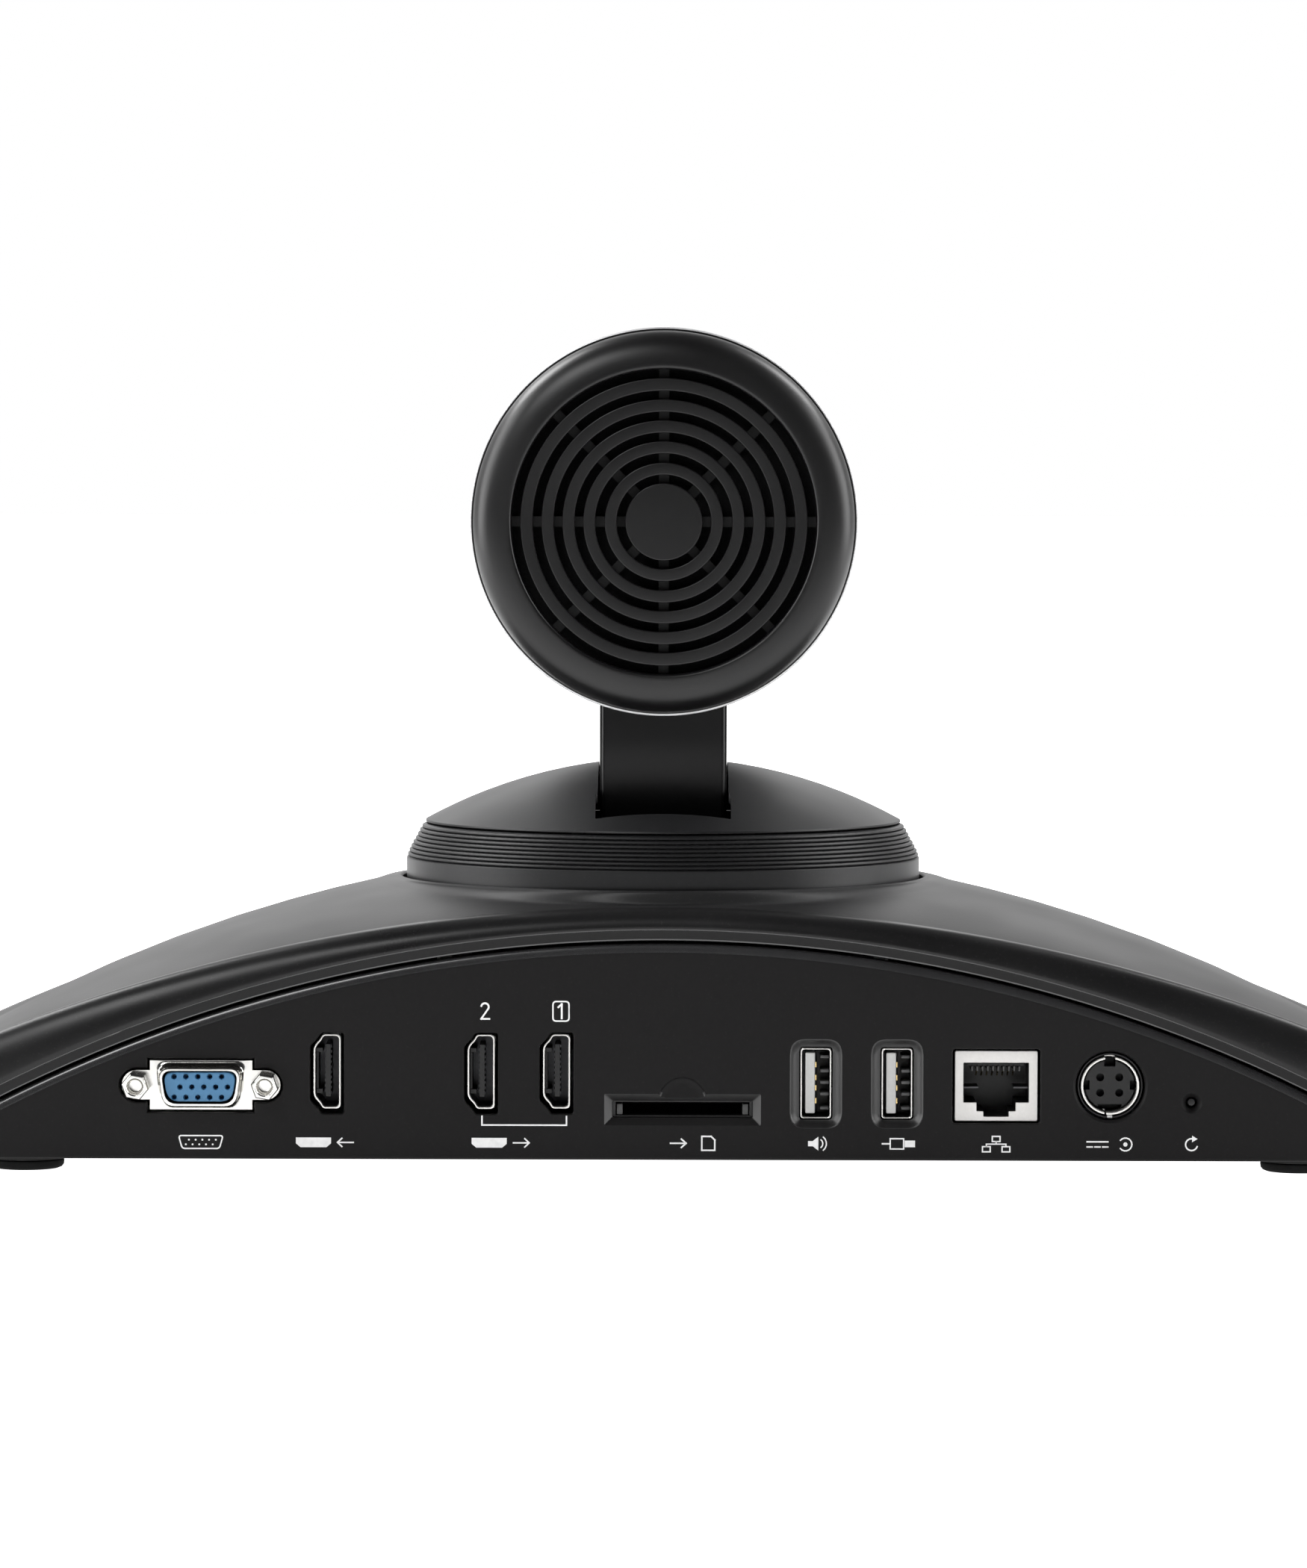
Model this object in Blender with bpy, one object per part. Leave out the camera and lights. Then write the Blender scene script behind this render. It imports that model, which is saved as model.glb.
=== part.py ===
"""Desktop video-conference PTZ camera: arched base, pan turret, tilting neck and drum head.

Design frame (millimetres): x to the right seen from the front, y towards the connector panel,
z up from the lower edge of the base, with x = y = 0 on the pan axis.  The lens looks along -y.
"""
import math
import bpy
import bmesh
from mathutils import Vector
from mathutils.bvhtree import BVHTree

for old in list(bpy.data.objects):
    bpy.data.objects.remove(old, do_unlink=True)

MM = 0.001

# ---------------------------------------------------------------- driving dimensions (mm)
FOOT_H = 2.8            # rubber feet below the base edge
HALF_L = 172.0          # half the base length
REAR_Y = 60.0           # connector panel face
LIP_Y = 60.6            # rear edge of the top cover
FRONT_Y = -84.0         # front of the bowed nose
CREASE_REAR_Y = 55.0
CREASE_FRONT_Y = -70.0
WALL = 2.2
ARC_C = -240.6          # centre height of the panel / lip arcs
R_PANEL = 282.8         # panel top edge
R_GAP = 283.3           # cover lower edge
R_LIP = 285.6           # top of the lip
CREASE_R, CREASE_C = 342.0, -292.9
RIDGE_R, RIDGE_C = 285.0, -228.3
HOLE_R = 52.3           # turret hole in the cover
RIM_Z = 51.9
PANEL_HALF = 137.6      # half length of the panel and the fascia
VGA_FRONT = 64.4        # most rearward point of the object
PAN_Y = -(FRONT_Y + VGA_FRONT) / 2.0

COLLAR_R = 51.5
COLLAR_Z0, COLLAR_Z1 = 46.3, 62.3
RIB_PITCH = 0.9
DOME_R, DOME_APEX = 98.5, 75.3
SLOT_HALF, SLOT_HALF_WIDE = 12.9, 13.3
SLOT_Y0, SLOT_Y1 = -34.0, 41.3

TILT_Z = 55.0           # tilt axis height
NECK_HALF = 12.5
HEAD_Z = 123.3
HEAD_R = 38.0
COVER_R = 37.4

PAN_TEETH, PAN_PINION_TEETH, PAN_MODULE = 48, 14, 1.25
TILT_TEETH, TILT_PINION_TEETH, TILT_MODULE = 36, 12, 1.0
TILT_PINION_DIR = math.radians(220.0)

# connector centres on the panel (x, z)
VGA = (89.3, 14.4)
HDMI_IN, HDMI_OUT2, HDMI_OUT1 = (64.9, 17.1), (35.1, 17.1), (20.5, 17.2)
SD = (-3.9, 9.9)
USB1, USB2 = (-29.7, 15.0), (-45.4, 15.0)
LAN = (-64.6, 14.6)
DC = (-86.65, 14.7)
RESET = (-102.4, 11.5)
FEET = {"foot_rear_left": (124.0, 48.0), "foot_rear_right": (-124.0, 48.0),
        "foot_front_left": (88.0, -38.0), "foot_front_right": (-88.0, -38.0)}
SCREWS = {"tray_screw_1": (124.0, 16.0), "tray_screw_2": (-124.0, 16.0),
          "tray_screw_3": (58.0, -52.0), "tray_screw_4": (-58.0, -52.0)}

# ---------------------------------------------------------------- helpers
scene = bpy.context.scene
POS = {}


def link(ob):
    scene.collection.objects.link(ob)
    return ob


def empty(name, at, parent=None):
    ob = link(bpy.data.objects.new(name, None))
    ob.empty_display_size = 0.02
    POS[name] = Vector(at)
    if parent is None:
        ob.location = (at[0] * MM, (at[1] + PAN_Y) * MM, (at[2] + FOOT_H) * MM)
    else:
        ob.parent = parent
        ob.location = (Vector(at) - POS[parent.name]) * MM
    return ob


def material(name, rgb, rough, metal=0.0):
    mat = bpy.data.materials.new(name)
    mat.use_nodes = True
    node = mat.node_tree.nodes["Principled BSDF"]
    node.inputs["Base Color"].default_value = (rgb[0], rgb[1], rgb[2], 1.0)
    node.inputs["Roughness"].default_value = rough
    node.inputs["Metallic"].default_value = metal
    mat.diffuse_color = (rgb[0], rgb[1], rgb[2], 1.0)
    return mat


def solid(name, shape, parent, at=None, look=None, smooth=None):
    verts, faces = shape
    at = Vector(at) if at is not None else POS[parent.name]
    mesh = bpy.data.meshes.new(name)
    mesh.from_pydata([(Vector(v) - at) * MM for v in verts], [], faces)
    bm = bmesh.new()
    bm.from_mesh(mesh)
    bmesh.ops.remove_doubles(bm, verts=bm.verts, dist=1e-6)
    bmesh.ops.recalc_face_normals(bm, faces=bm.faces)
    bm.to_mesh(mesh)
    bm.free()
    ob = link(bpy.data.objects.new(name, mesh))
    ob.parent = parent
    ob.location = (at - POS[parent.name]) * MM
    if look is not None:
        mesh.materials.append(material(name, *look))
    if smooth is not None:
        mesh.shade_smooth()
        mesh.set_sharp_from_angle(angle=math.radians(smooth))
    return ob


def tool(name, shape, parent):
    ob = solid(name, shape, parent)
    ob.hide_render = True
    ob.display_type = 'WIRE'
    return ob


def boolean(ob, cutter, op='DIFFERENCE'):
    mod = ob.modifiers.new(op.lower(), 'BOOLEAN')
    mod.operation = op
    mod.solver = 'EXACT'
    mod.object = cutter


def merge(shapes):
    verts, faces = [], []
    for vs, fs in shapes:
        k = len(verts)
        verts += list(vs)
        faces += [tuple(i + k for i in f) for f in fs]
    return verts, faces


def loft(loops, ring=False):
    n, rows = len(loops[0]), len(loops)
    verts = [tuple(p) for loop in loops for p in loop]
    faces = []
    for r in range(rows if ring else rows - 1):
        s = (r + 1) % rows
        for i in range(n):
            j = (i + 1) % n
            faces.append((r * n + i, r * n + j, s * n + j, s * n + i))
    if not ring:
        faces.append(tuple(range(n))[::-1])
        faces.append(tuple(range((rows - 1) * n, rows * n)))
    return verts, faces


def place(axis, u, v, h):
    """Point at in-plane (u, v) and height h along the axis."""
    if axis == 'Z':
        return (u, v, h)
    if axis == 'Y':
        return (u, h, v)
    return (h, u, v)


def extrude(poly, lo, hi, axis):
    return loft([[place(axis, u, v, lo) for u, v in poly], [place(axis, u, v, hi) for u, v in poly]])


def tube(outer, inner, lo, hi, axis):
    return loft([[place(axis, u, v, lo) for u, v in outer], [place(axis, u, v, hi) for u, v in outer],
                 [place(axis, u, v, hi) for u, v in inner], [place(axis, u, v, lo) for u, v in inner]], ring=True)


def cup(outer, inner, back, front, floor, axis):
    """Closed at `back`, open at `front`, hollow down to `floor`."""
    return loft([[place(axis, u, v, back) for u, v in outer], [place(axis, u, v, front) for u, v in outer],
                 [place(axis, u, v, front) for u, v in inner], [place(axis, u, v, floor) for u, v in inner]])


def revolve(profile, segs, axis='Z', centre=(0, 0, 0), ring=True, phase=0.0):
    cx, cy, cz = centre
    loops = []
    for r, h in profile:
        loop = []
        for i in range(segs):
            a = phase + 2 * math.pi * i / segs
            p = place(axis, r * math.cos(a), r * math.sin(a), h)
            loop.append((p[0] + cx, p[1] + cy, p[2] + cz))
        loops.append(loop)
    return loft(loops, ring=ring)


def cyl(r, lo, hi, segs, axis='Z', centre=(0, 0, 0)):
    return revolve([(r, lo), (r, hi)], segs, axis, centre, ring=False)


def block(x0, x1, y0, y1, z0, z1):
    return extrude([(x0, y0), (x1, y0), (x1, y1), (x0, y1)], z0, z1, 'Z')


def rounded(points, r, n=2):
    """Round every corner of a polygon with n+1 points on an arc-like quadratic."""
    out, m = [], len(points)
    for i in range(m):
        p, a, b = Vector(points[i]), Vector(points[i - 1]), Vector(points[(i + 1) % m])
        da, db = (a - p), (b - p)
        k = min(r, da.length * 0.45, db.length * 0.45)
        s, e = p + da.normalized() * k, p + db.normalized() * k
        for j in range(n + 1):
            t = j / n
            q = s * (1 - t) ** 2 + p * 2 * t * (1 - t) + e * t ** 2
            out.append((q.x, q.y))
    return out


def shift(poly, dx, dy):
    return [(u + dx, v + dy) for u, v in poly]


def rect(w, h):
    return [(-w / 2, -h / 2), (w / 2, -h / 2), (w / 2, h / 2), (-w / 2, h / 2)]


def offset(loop, d):
    """Move a closed plan loop (clockwise seen from above) inwards by d."""
    n, out = len(loop), []
    for i in range(n):
        a, p, b = Vector(loop[i - 1]), Vector(loop[i]), Vector(loop[(i + 1) % n])
        t1, t2 = (p - a).normalized(), (b - p).normalized()
        n1, n2 = Vector((t1.y, -t1.x)), Vector((t2.y, -t2.x))
        m = (n1 + n2).normalized()
        out.append(tuple(p + m * (d / max(0.5, m.dot(n1)))))
    return out


# ---------------------------------------------------------------- base curves
def arc_z(radius, centre, x):
    return centre + math.sqrt(max(radius * radius - x * x, 0.0))


def lip_z(x):
    return max(arc_z(R_LIP, ARC_C, x), 2.4)


def gap_z(x):
    return arc_z(R_GAP, ARC_C, x) if abs(x) < PANEL_HALF + 0.6 else 0.0


def crease_z(x):
    return arc_z(CREASE_R, CREASE_C, x)


def front_edge(x, inset=0.0):
    a = HALF_L - inset
    return 30.0 - (30.0 - FRONT_Y - inset) * max(0.0, 1 - (abs(x) / a) ** 1.7) ** (1 / 1.7)


def crease_span(x):
    """Rear and front limits of the leaf-shaped top at a given x."""
    ax = min(abs(x), 153.9)
    rear = CREASE_REAR_Y if ax < 128 else 33 + 22 * math.sqrt(max(0.0, 1 - ((ax - 128) / 26.0) ** 2))
    front = 33.0 - (33.0 - CREASE_FRONT_Y) * max(0.0, 1 - (ax / 154.0) ** 1.7) ** (1 / 1.7)
    return rear, front


def top_z(x, y):
    rear, front = crease_span(x)
    mid = 33.0 * min(1.0, (x / 154.0) ** 2)
    w = (y - mid) / (rear - mid + 1e-6) if y > mid else (mid - y) / (mid - front + 1e-6)
    lift = max(0.0, arc_z(RIDGE_R, RIDGE_C, x) - crease_z(x))
    return crease_z(x) + lift * (1 - min(1.0, abs(w)) ** 2)


def half_outlines():
    """Matching points of the outer edge, the crease and their polar angle, from rear centre to front centre."""
    edge, crease = [], []
    n = 12
    a0 = math.atan2(CREASE_REAR_Y, 128.0)
    for i in range(n + 1):
        a = math.pi / 2 + (a0 - math.pi / 2) * i / n
        x = CREASE_REAR_Y / math.tan(a) if i else 0.0
        crease.append((x, CREASE_REAR_Y))
        edge.append((x * 138.0 / 128.0, LIP_Y))
    for deg in (88.5, 66, 44, 22, 0):
        a = math.radians(deg)
        crease.append((128 + 26 * math.cos(a), 33 + 22 * math.sin(a)))
        edge.append((138 + 34 * math.cos(a), 30 + 30.6 * math.sin(a)))
    n = 13
    for i in range(1, n + 1):
        b = math.pi / 2 * i / n
        c, s = max(0.0, math.cos(b)) ** (2 / 1.7), math.sin(b) ** (2 / 1.7)
        if i == n:
            c = 0.0
        crease.append((154.0 * c, 33 - (33 - CREASE_FRONT_Y) * s))
        edge.append((HALF_L * c, 30 - (30 - FRONT_Y) * s))
    return edge, crease


def mirror_half(half):
    return half + [(-x, y) for x, y in half[-2:0:-1]]


EDGE_H, CREASE_H = half_outlines()
NH = len(EDGE_H)
PHI_H = []
for i in range(NH):
    polar = math.atan2(CREASE_H[i][1], CREASE_H[i][0])
    even = math.pi / 2 - math.pi * i / (NH - 1)
    PHI_H.append(0.5 * polar + 0.5 * even)
EDGE, CREASE = mirror_half(EDGE_H), mirror_half(CREASE_H)
PHI = PHI_H + [math.pi - p for p in PHI_H[-2:0:-1]]


def circle_loop(r, z=None, fn=None):
    pts = []
    for p in PHI:
        x, y = r * math.cos(p), r * math.sin(p)
        pts.append((x, y, z if fn is None else fn(x, y)))
    return pts


def blend_r(p):
    return 57.5 - 3.2 * max(0.0, math.sin(p)) ** 8


def cover_shape():
    rows = []
    rows.append([(x, y, gap_z(x)) for x, y in EDGE])
    rows.append([(x, y, lip_z(x)) for x, y in EDGE])
    for deg in (58, 28):
        a = math.radians(deg)
        row = []
        for (ex, ey), (cx, cy) in zip(EDGE, CREASE):
            z0, z1 = lip_z(ex), crease_z(cx)
            row.append((cx + (ex - cx) * math.sin(a), cy + (ey - cy) * math.sin(a), z0 + (z1 - z0) * math.cos(a)))
        rows.append(row)
    rows.append([(x, y, crease_z(x)) for x, y in CREASE])
    for s in (0.35, 0.7, 1.0):
        row = []
        for (cx, cy), p in zip(CREASE, PHI):
            bx, by = blend_r(p) * math.cos(p), blend_r(p) * math.sin(p)
            x, y = cx + (bx - cx) * s, cy + (by - cy) * s
            row.append((x, y, top_z(x, y)))
        rows.append(row)
    rows.append(circle_loop(53.4, RIM_Z))
    rows.append(circle_loop(HOLE_R, RIM_Z))
    rows.append(circle_loop(HOLE_R, 48.2))
    rows.append(circle_loop(53.2, 47.3))
    crease_in = offset(CREASE, 0.9)
    edge_in = offset(EDGE, WALL)
    row = []
    for (cx, cy), p in zip(crease_in, PHI):
        bx, by = 54.0 * math.cos(p), min(54.0 * math.sin(p), 53.8)
        x, y = cx + (bx - cx) * 0.5, cy + (by - cy) * 0.5
        row.append((x, y, min(47.2, top_z(x, y) - 2.4)))
    rows.append(row)
    rows.append([(x, y, crease_z(x) - 2.3) for x, y in crease_in])
    row = []
    for (ex, ey), (cx, cy) in zip(edge_in, crease_in):
        z0, z1 = gap_z(ex) + 2.4, crease_z(cx) - 2.3
        row.append((cx + (ex - cx) * 0.72, cy + (ey - cy) * 0.72, z0 + (z1 - z0) * 0.72))
    rows.append(row)
    rows.append([(x, y, gap_z(ex) + 2.3) for (x, y), (ex, ey) in zip(edge_in, EDGE)])
    rows.append([(x, y, gap_z(ex)) for (x, y), (ex, ey) in zip(edge_in, EDGE)])
    return loft(rows, ring=True)


BLACK = (0.012, 0.012, 0.013)
SATIN = (0.035, 0.034, 0.037)
STEEL = (0.62, 0.62, 0.60)
DARK = (0.018, 0.018, 0.02)
GREEN = (0.02, 0.09, 0.05)

base = empty("base_origin", (0, 0, 0))
pan_axis = empty("pan_axis", (0, 0, 0), base)
tilt_axis = empty("tilt_axis", (0, 0, TILT_Z), pan_axis)

# ---------------------------------------------------------------- base shells
cover = solid("base_top_cover", cover_shape(), base, look=(SATIN, 0.42), smooth=28)
cover_tree = BVHTree.FromPolygons(*cover_shape())


def under_cover(x, y):
    """Lowest point of the cover's inner face around (x, y), so that a boss ends inside the wall."""
    hits = [cover_tree.ray_cast(Vector((x + dx, y + dy, 3.0)), Vector((0, 0, 1)))[0].z
            for dx in (-4, 0, 4) for dy in (-4, 0, 4)]
    return max(hits) + 0.35


solid_bosses = tool("cover_bosses", merge([cyl(4.0, 2.6, under_cover(sx, sy), 12, 'Z', (sx, sy, 0))
                                           for sx, sy in SCREWS.values()]), base)
boss_bores = tool("cover_boss_bores", merge([cyl(1.8, 2.0, 11.0, 8, 'Z', (sx, sy, 0))
                                             for sx, sy in SCREWS.values()]), base)
boolean(cover, solid_bosses, 'UNION')
boolean(cover, boss_bores)

tray_loop = offset(EDGE, 2.95)
tray = solid("base_bottom_tray", extrude(tray_loop, 0.0, 2.0, 'Z'), base, look=(BLACK, 0.6))
tray_adds = [cyl(8.35, -0.7, 0.5, 20, 'Z', (fx, fy, 0)) for fx, fy in FEET.values()]
tray_adds += [cyl(2.6, 1.5, 5.3, 10, 'Z', (px, py, 0)) for px, py in ((-104, 40), (100, 40), (-40, 27), (36, 27))]
tray_add = tool("tray_bosses", merge(tray_adds), base)
tray_cut = tool("tray_screw_holes", merge(
    [revolve([(3.0, -1.0), (3.0, 1.0), (1.75, 1.0), (1.75, 3.0)], 12, 'Z', (sx, sy, 0), ring=False)
     for sx, sy in SCREWS.values()]), base)
boolean(tray, tray_add, 'UNION')
boolean(tray, tray_cut)

for foot, (fx, fy) in FEET.items():
    solid(foot, revolve([(6.6, -FOOT_H), (7.35, -FOOT_H + 0.5), (7.35, -1.0)], 20, 'Z', (fx, fy, 0), ring=False),
          base, at=(fx, fy, -1.0), look=((0.01, 0.01, 0.01), 0.8), smooth=40)
for name, (sx, sy) in SCREWS.items():
    solid(name, revolve([(2.6, 0.1), (2.6, 0.75), (1.4, 0.75), (1.4, 10.0)], 12, 'Z', (sx, sy, 0), ring=False),
          base, at=(sx, sy, 0), look=(STEEL, 0.35, 1.0), smooth=40)

# ---------------------------------------------------------------- connector outlines (centred, x/z)
VGA_D = rounded([(-7.0, -3.7), (7.0, -3.7), (8.0, 3.7), (-8.0, 3.7)], 2.2, 2)
VGA_FLANGE = [(-9.9, -4.75), (9.9, -4.75), (9.9, -2.7), (12.6, -2.7), (14.6, -1.9), (15.3, 0.0), (14.6, 1.9),
              (12.6, 2.7), (9.9, 2.7), (9.9, 4.75), (-9.9, 4.75), (-9.9, 2.7), (-12.6, 2.7), (-14.6, 1.9),
              (-15.3, 0.0), (-14.6, -1.9), (-12.6, -2.7), (-9.9, -2.7)]
VGA_CUT = [(-10.4, -5.3), (10.4, -5.3), (10.4, -3.2), (12.8, -3.2), (15.1, -2.3), (15.8, 0.0), (15.1, 2.3),
           (12.8, 3.2), (10.4, 3.2), (10.4, 5.3), (-10.4, 5.3), (-10.4, 3.2), (-12.8, 3.2), (-15.1, 2.3),
           (-15.8, 0.0), (-15.1, -2.3), (-12.8, -3.2), (-10.4, -3.2)]


def hdmi_outline(g=0.0):
    return [(-2.65 - g, -7.25 - g), (0.85 + 0.4 * g, -7.25 - g), (1.35 + 0.7 * g, -6.2 - 0.9 * g),
            (2.65 + g, -4.95 - 0.5 * g), (2.65 + g, 4.95 + 0.5 * g), (1.35 + 0.7 * g, 6.2 + 0.9 * g),
            (0.85 + 0.4 * g, 7.25 + g), (-2.65 - g, 7.25 + g)]


def scaled(poly, fx, fy):
    return [(u * fx, v * fy) for u, v in poly]


# ---------------------------------------------------------------- rear panel
arc = [(PANEL_HALF * (1 - 2 * i / 44), 0) for i in range(45)]
panel_poly = [(-PANEL_HALF, 0.0), (PANEL_HALF, 0.0)] + [(x, arc_z(R_PANEL, ARC_C, x)) for x, _ in arc]
panel = solid("rear_panel", extrude(panel_poly, 58.0, REAR_Y, 'Y'), base, look=(DARK, 0.45), smooth=30)


def through(poly, c):
    return extrude(shift(poly, *c), 57.0, 61.0, 'Y')


def stepped(face, inner, c, depth):
    loops = []
    for poly, y in ((face, 60.6), (face, 60.0), (inner, 60.0 - depth), (inner, 57.0)):
        loops.append([(u + c[0], y, v + c[1]) for u, v in poly])
    return loft(loops)


panel_cuts = [through(VGA_CUT, VGA)]
for c in (HDMI_IN, HDMI_OUT2, HDMI_OUT1):
    panel_cuts.append(through(hdmi_outline(0.65), (c[0], c[1] - 0.3)))
panel_cuts.append(stepped(rect(30.3, 6.1), rect(27.0, 3.2), SD, 1.5))
for c in (USB1, USB2):
    panel_cuts.append(stepped(rounded(rect(9.95, 17.2), 2.4), rounded(rect(6.5, 14.2), 0.9), c, 1.5))
panel_cuts.append(through(rect(17.0, 14.4), LAN))
panel_cuts.append(revolve([(7.2, 60.6), (7.2, 60.0), (6.7, 59.5), (6.7, 57.0)], 28, 'Y', (DC[0], 0, DC[1]), ring=False))
panel_cuts.append(revolve([(2.0, 60.6), (2.0, 60.0), (1.1, 59.0), (1.1, 57.0)], 14, 'Y', (RESET[0], 0, RESET[1]),
                          ring=False))
panel_cut = tool("panel_openings", merge(panel_cuts), base)
boolean(panel, panel_cut)


# ---------------------------------------------------------------- front fascia, window, status light
def fascia_strip(x0, x1, n, inset_out, inset_in, z_lo, z_hi):
    xs = [x0 + (x1 - x0) * i / n for i in range(n + 1)]
    outer, inner = [], []
    for x in xs:
        e = 0.05
        t = Vector((2 * e, front_edge(x + e) - front_edge(x - e))).normalized()
        nrm = Vector((t.y, -t.x))
        p = Vector((x, front_edge(x)))
        outer.append(p - nrm * inset_out)
        inner.append(p - nrm * inset_in)
    top = [z_hi(x) for x in xs]
    low = [[(p.x, p.y, z_lo) for p in outer] + [(p.x, p.y, z_lo) for p in reversed(inner)],
           [(p.x, p.y, h) for p, h in zip(outer, top)] + [(p.x, p.y, h) for p, h in zip(reversed(inner), reversed(top))]]
    n2 = len(xs)
    verts = low[0] + low[1]
    k = 2 * n2
    faces = []
    for i in range(n2 - 1):
        o0, o1, i0, i1 = i, i + 1, k - 1 - i, k - 2 - i
        faces.append((o0, o1, i1, i0))
        faces.append((k + o0, k + i0, k + i1, k + o1))
        faces.append((o0, k + o0, k + o1, o1))
        faces.append((i0, i1, k + i1, k + i0))
    faces.append((0, k - 1, 2 * k - 1, k))
    faces.append((n2 - 1, k + n2 - 1, k + n2, n2))
    return verts, faces


fascia = solid("front_fascia", fascia_strip(-PANEL_HALF, PANEL_HALF, 36, 0.5, 2.5, 0.0, lambda x: arc_z(R_PANEL, ARC_C, x)),
               base, look=((0.008, 0.008, 0.009), 0.15), smooth=30)
fascia_cut = tool("fascia_openings", merge([block(-14.0, 14.0, -90, -78, 11.0, 23.0),
                                            cyl(1.6, -90, -76, 12, 'Y', (24.0, 0, 17.0))]), base)
boolean(fascia, fascia_cut)
solid("ir_window", fascia_strip(-13.7, 13.7, 6, 0.6, 2.4, 11.3, lambda x: 22.7), base,
      look=((0.03, 0.004, 0.006), 0.1), smooth=30)
solid("status_led", cyl(1.3, -82.5, -79.5, 12, 'Y', (24.0, 0, 17.0)), base, look=((0.2, 0.7, 0.3), 0.3), smooth=40)

# ---------------------------------------------------------------- board and connectors
board_poly = [(-112, 57.2), (-112, 24), (-34, 24)]
for i in range(9):
    a = math.radians(140 - 100 * i / 8)
    board_poly.append((32.0 * math.cos(a), 32.0 * math.sin(a)))
board_poly += [(34, 24), (106, 24), (106, 57.2)]
solid("main_board", extrude(board_poly, 5.6, 7.2, 'Z'), base, look=(GREEN, 0.5))

vga_shell = solid("vga_shell", extrude(shift(VGA_FLANGE, *VGA), 58.2, 59.0, 'Y'), base, look=(STEEL, 0.3, 1.0), smooth=30)
vga_tube = tool("vga_tube", extrude(shift(VGA_D, *VGA), 58.4, VGA_FRONT, 'Y'), base)
vga_bore = tool("vga_bore", merge([extrude(shift(scaled(VGA_D, 0.935, 0.87), *VGA), 57.0, 66.0, 'Y'),
                                   cyl(1.5, 57.0, 66.0, 10, 'Y', (VGA[0] - 12.5, 0, VGA[1])),
                                   cyl(1.5, 57.0, 66.0, 10, 'Y', (VGA[0] + 12.5, 0, VGA[1]))]), base)
boolean(vga_shell, vga_tube, 'UNION')
boolean(vga_shell, vga_bore)
vga_insert = solid("vga_insert", extrude(shift(scaled(VGA_D, 0.89, 0.79), *VGA), 47.0, 63.6, 'Y'), base,
                   look=((0.067, 0.195, 0.352), 0.4), smooth=30)
pins = []
for row, dz, dx in ((0, 2.0, 0.35), (1, 0.0, -0.8), (2, -2.0, 0.35)):
    for i in range(5):
        pins.append(cyl(0.55, 60.5, 66.0, 6, 'Y', (VGA[0] + dx + 2.3 * (i - 2), 0, VGA[1] + dz)))
pin_holes = tool("vga_pin_holes", merge(pins), base)
boolean(vga_insert, pin_holes)
for name, s in (("vga_jackscrew_left", 1), ("vga_jackscrew_right", -1)):
    c = (VGA[0] + 12.5 * s, 0, VGA[1])
    hexa = [(2.75 * math.cos(math.radians(60 * i)), 2.75 * math.sin(math.radians(60 * i))) for i in range(6)]
    bore = [(1.25 * math.cos(math.radians(60 * i)), 1.25 * math.sin(math.radians(60 * i))) for i in range(6)]
    solid(name, cup(shift(hexa, c[0], c[2]), shift(bore, c[0], c[2]), 59.3, 64.0, 60.2, 'Y'), base,
          at=(c[0], 60, c[2]), look=(STEEL, 0.25, 1.0))

for name, c in (("hdmi_in", HDMI_IN), ("hdmi_out_2", HDMI_OUT2), ("hdmi_out_1", HDMI_OUT1)):
    solid(name + "_shell", cup(shift(hdmi_outline(0.0), *c), shift(hdmi_outline(-0.35), *c), 47.0, 58.9, 47.6, 'Y'),
          base, at=(c[0], 58, c[1]), look=(STEEL, 0.25, 1.0))
    solid(name + "_tongue", block(c[0] - 0.65, c[0] + 0.35, 47.9, 57.7, c[1] - 5.0, c[1] + 5.2), base,
          at=(c[0], 58, c[1]), look=(DARK, 0.5))

solid("sd_card_slot", cup(shift(rect(28.4, 4.2), *SD), shift(rect(25.9, 2.56), *SD), 33.0, 57.7, 34.0, 'Y'), base,
      at=(SD[0], 57, SD[1]), look=(DARK, 0.5))
for n, c in ((1, USB1), (2, USB2)):
    solid("usb_a_shell_%d" % n, cup(shift(rounded(rect(6.0, 13.7), 0.5, 1), *c), shift(rounded(rect(5.4, 13.1), 0.3, 1), *c),
                                    46.5, 58.6, 47.1, 'Y'), base, at=(c[0], 58, c[1]), look=(STEEL, 0.25, 1.0))
    solid("usb_a_tongue_%d" % n, block(c[0] + 0.15, c[0] + 2.05, 47.4, 58.0, c[1] - 5.9, c[1] + 5.9), base,
          at=(c[0], 58, c[1]), look=((0.75, 0.75, 0.74), 0.4))

LAN_FACE = [(-8.0, -6.8), (-2.5, -6.8), (2.5, -6.8), (8.0, -6.8), (8.0, -3.2), (8.0, 4.0), (8.0, 6.8), (3.0, 6.8),
            (-3.0, 6.8), (-8.0, 6.8), (-8.0, 4.0), (-8.0, -3.2)]
LAN_HOLE = [(-3.8, -4.9), (-2.45, -6.0), (2.45, -6.0), (3.8, -4.9), (3.8, -3.3), (6.35, -3.2), (6.35, 4.5), (3.0, 4.5),
            (-3.0, 4.5), (-6.35, 4.5), (-6.35, -3.2), (-3.8, -3.3)]
solid("lan_jack_shell", cup(shift(LAN_FACE, *LAN), shift(LAN_HOLE, *LAN), 44.5, 58.9, 46.0, 'Y'), base,
      at=(LAN[0], 58, LAN[1]), look=(STEEL, 0.35, 1.0))
comb = []
for i in range(8):
    x = LAN[0] + 1.27 * (i - 3.5)
    comb += [(x - 0.3, LAN[1] + 2.9), (x + 0.3, LAN[1] + 2.9), (x + 0.3, LAN[1] + 3.6), (x + 0.97, LAN[1] + 3.6)]
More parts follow.
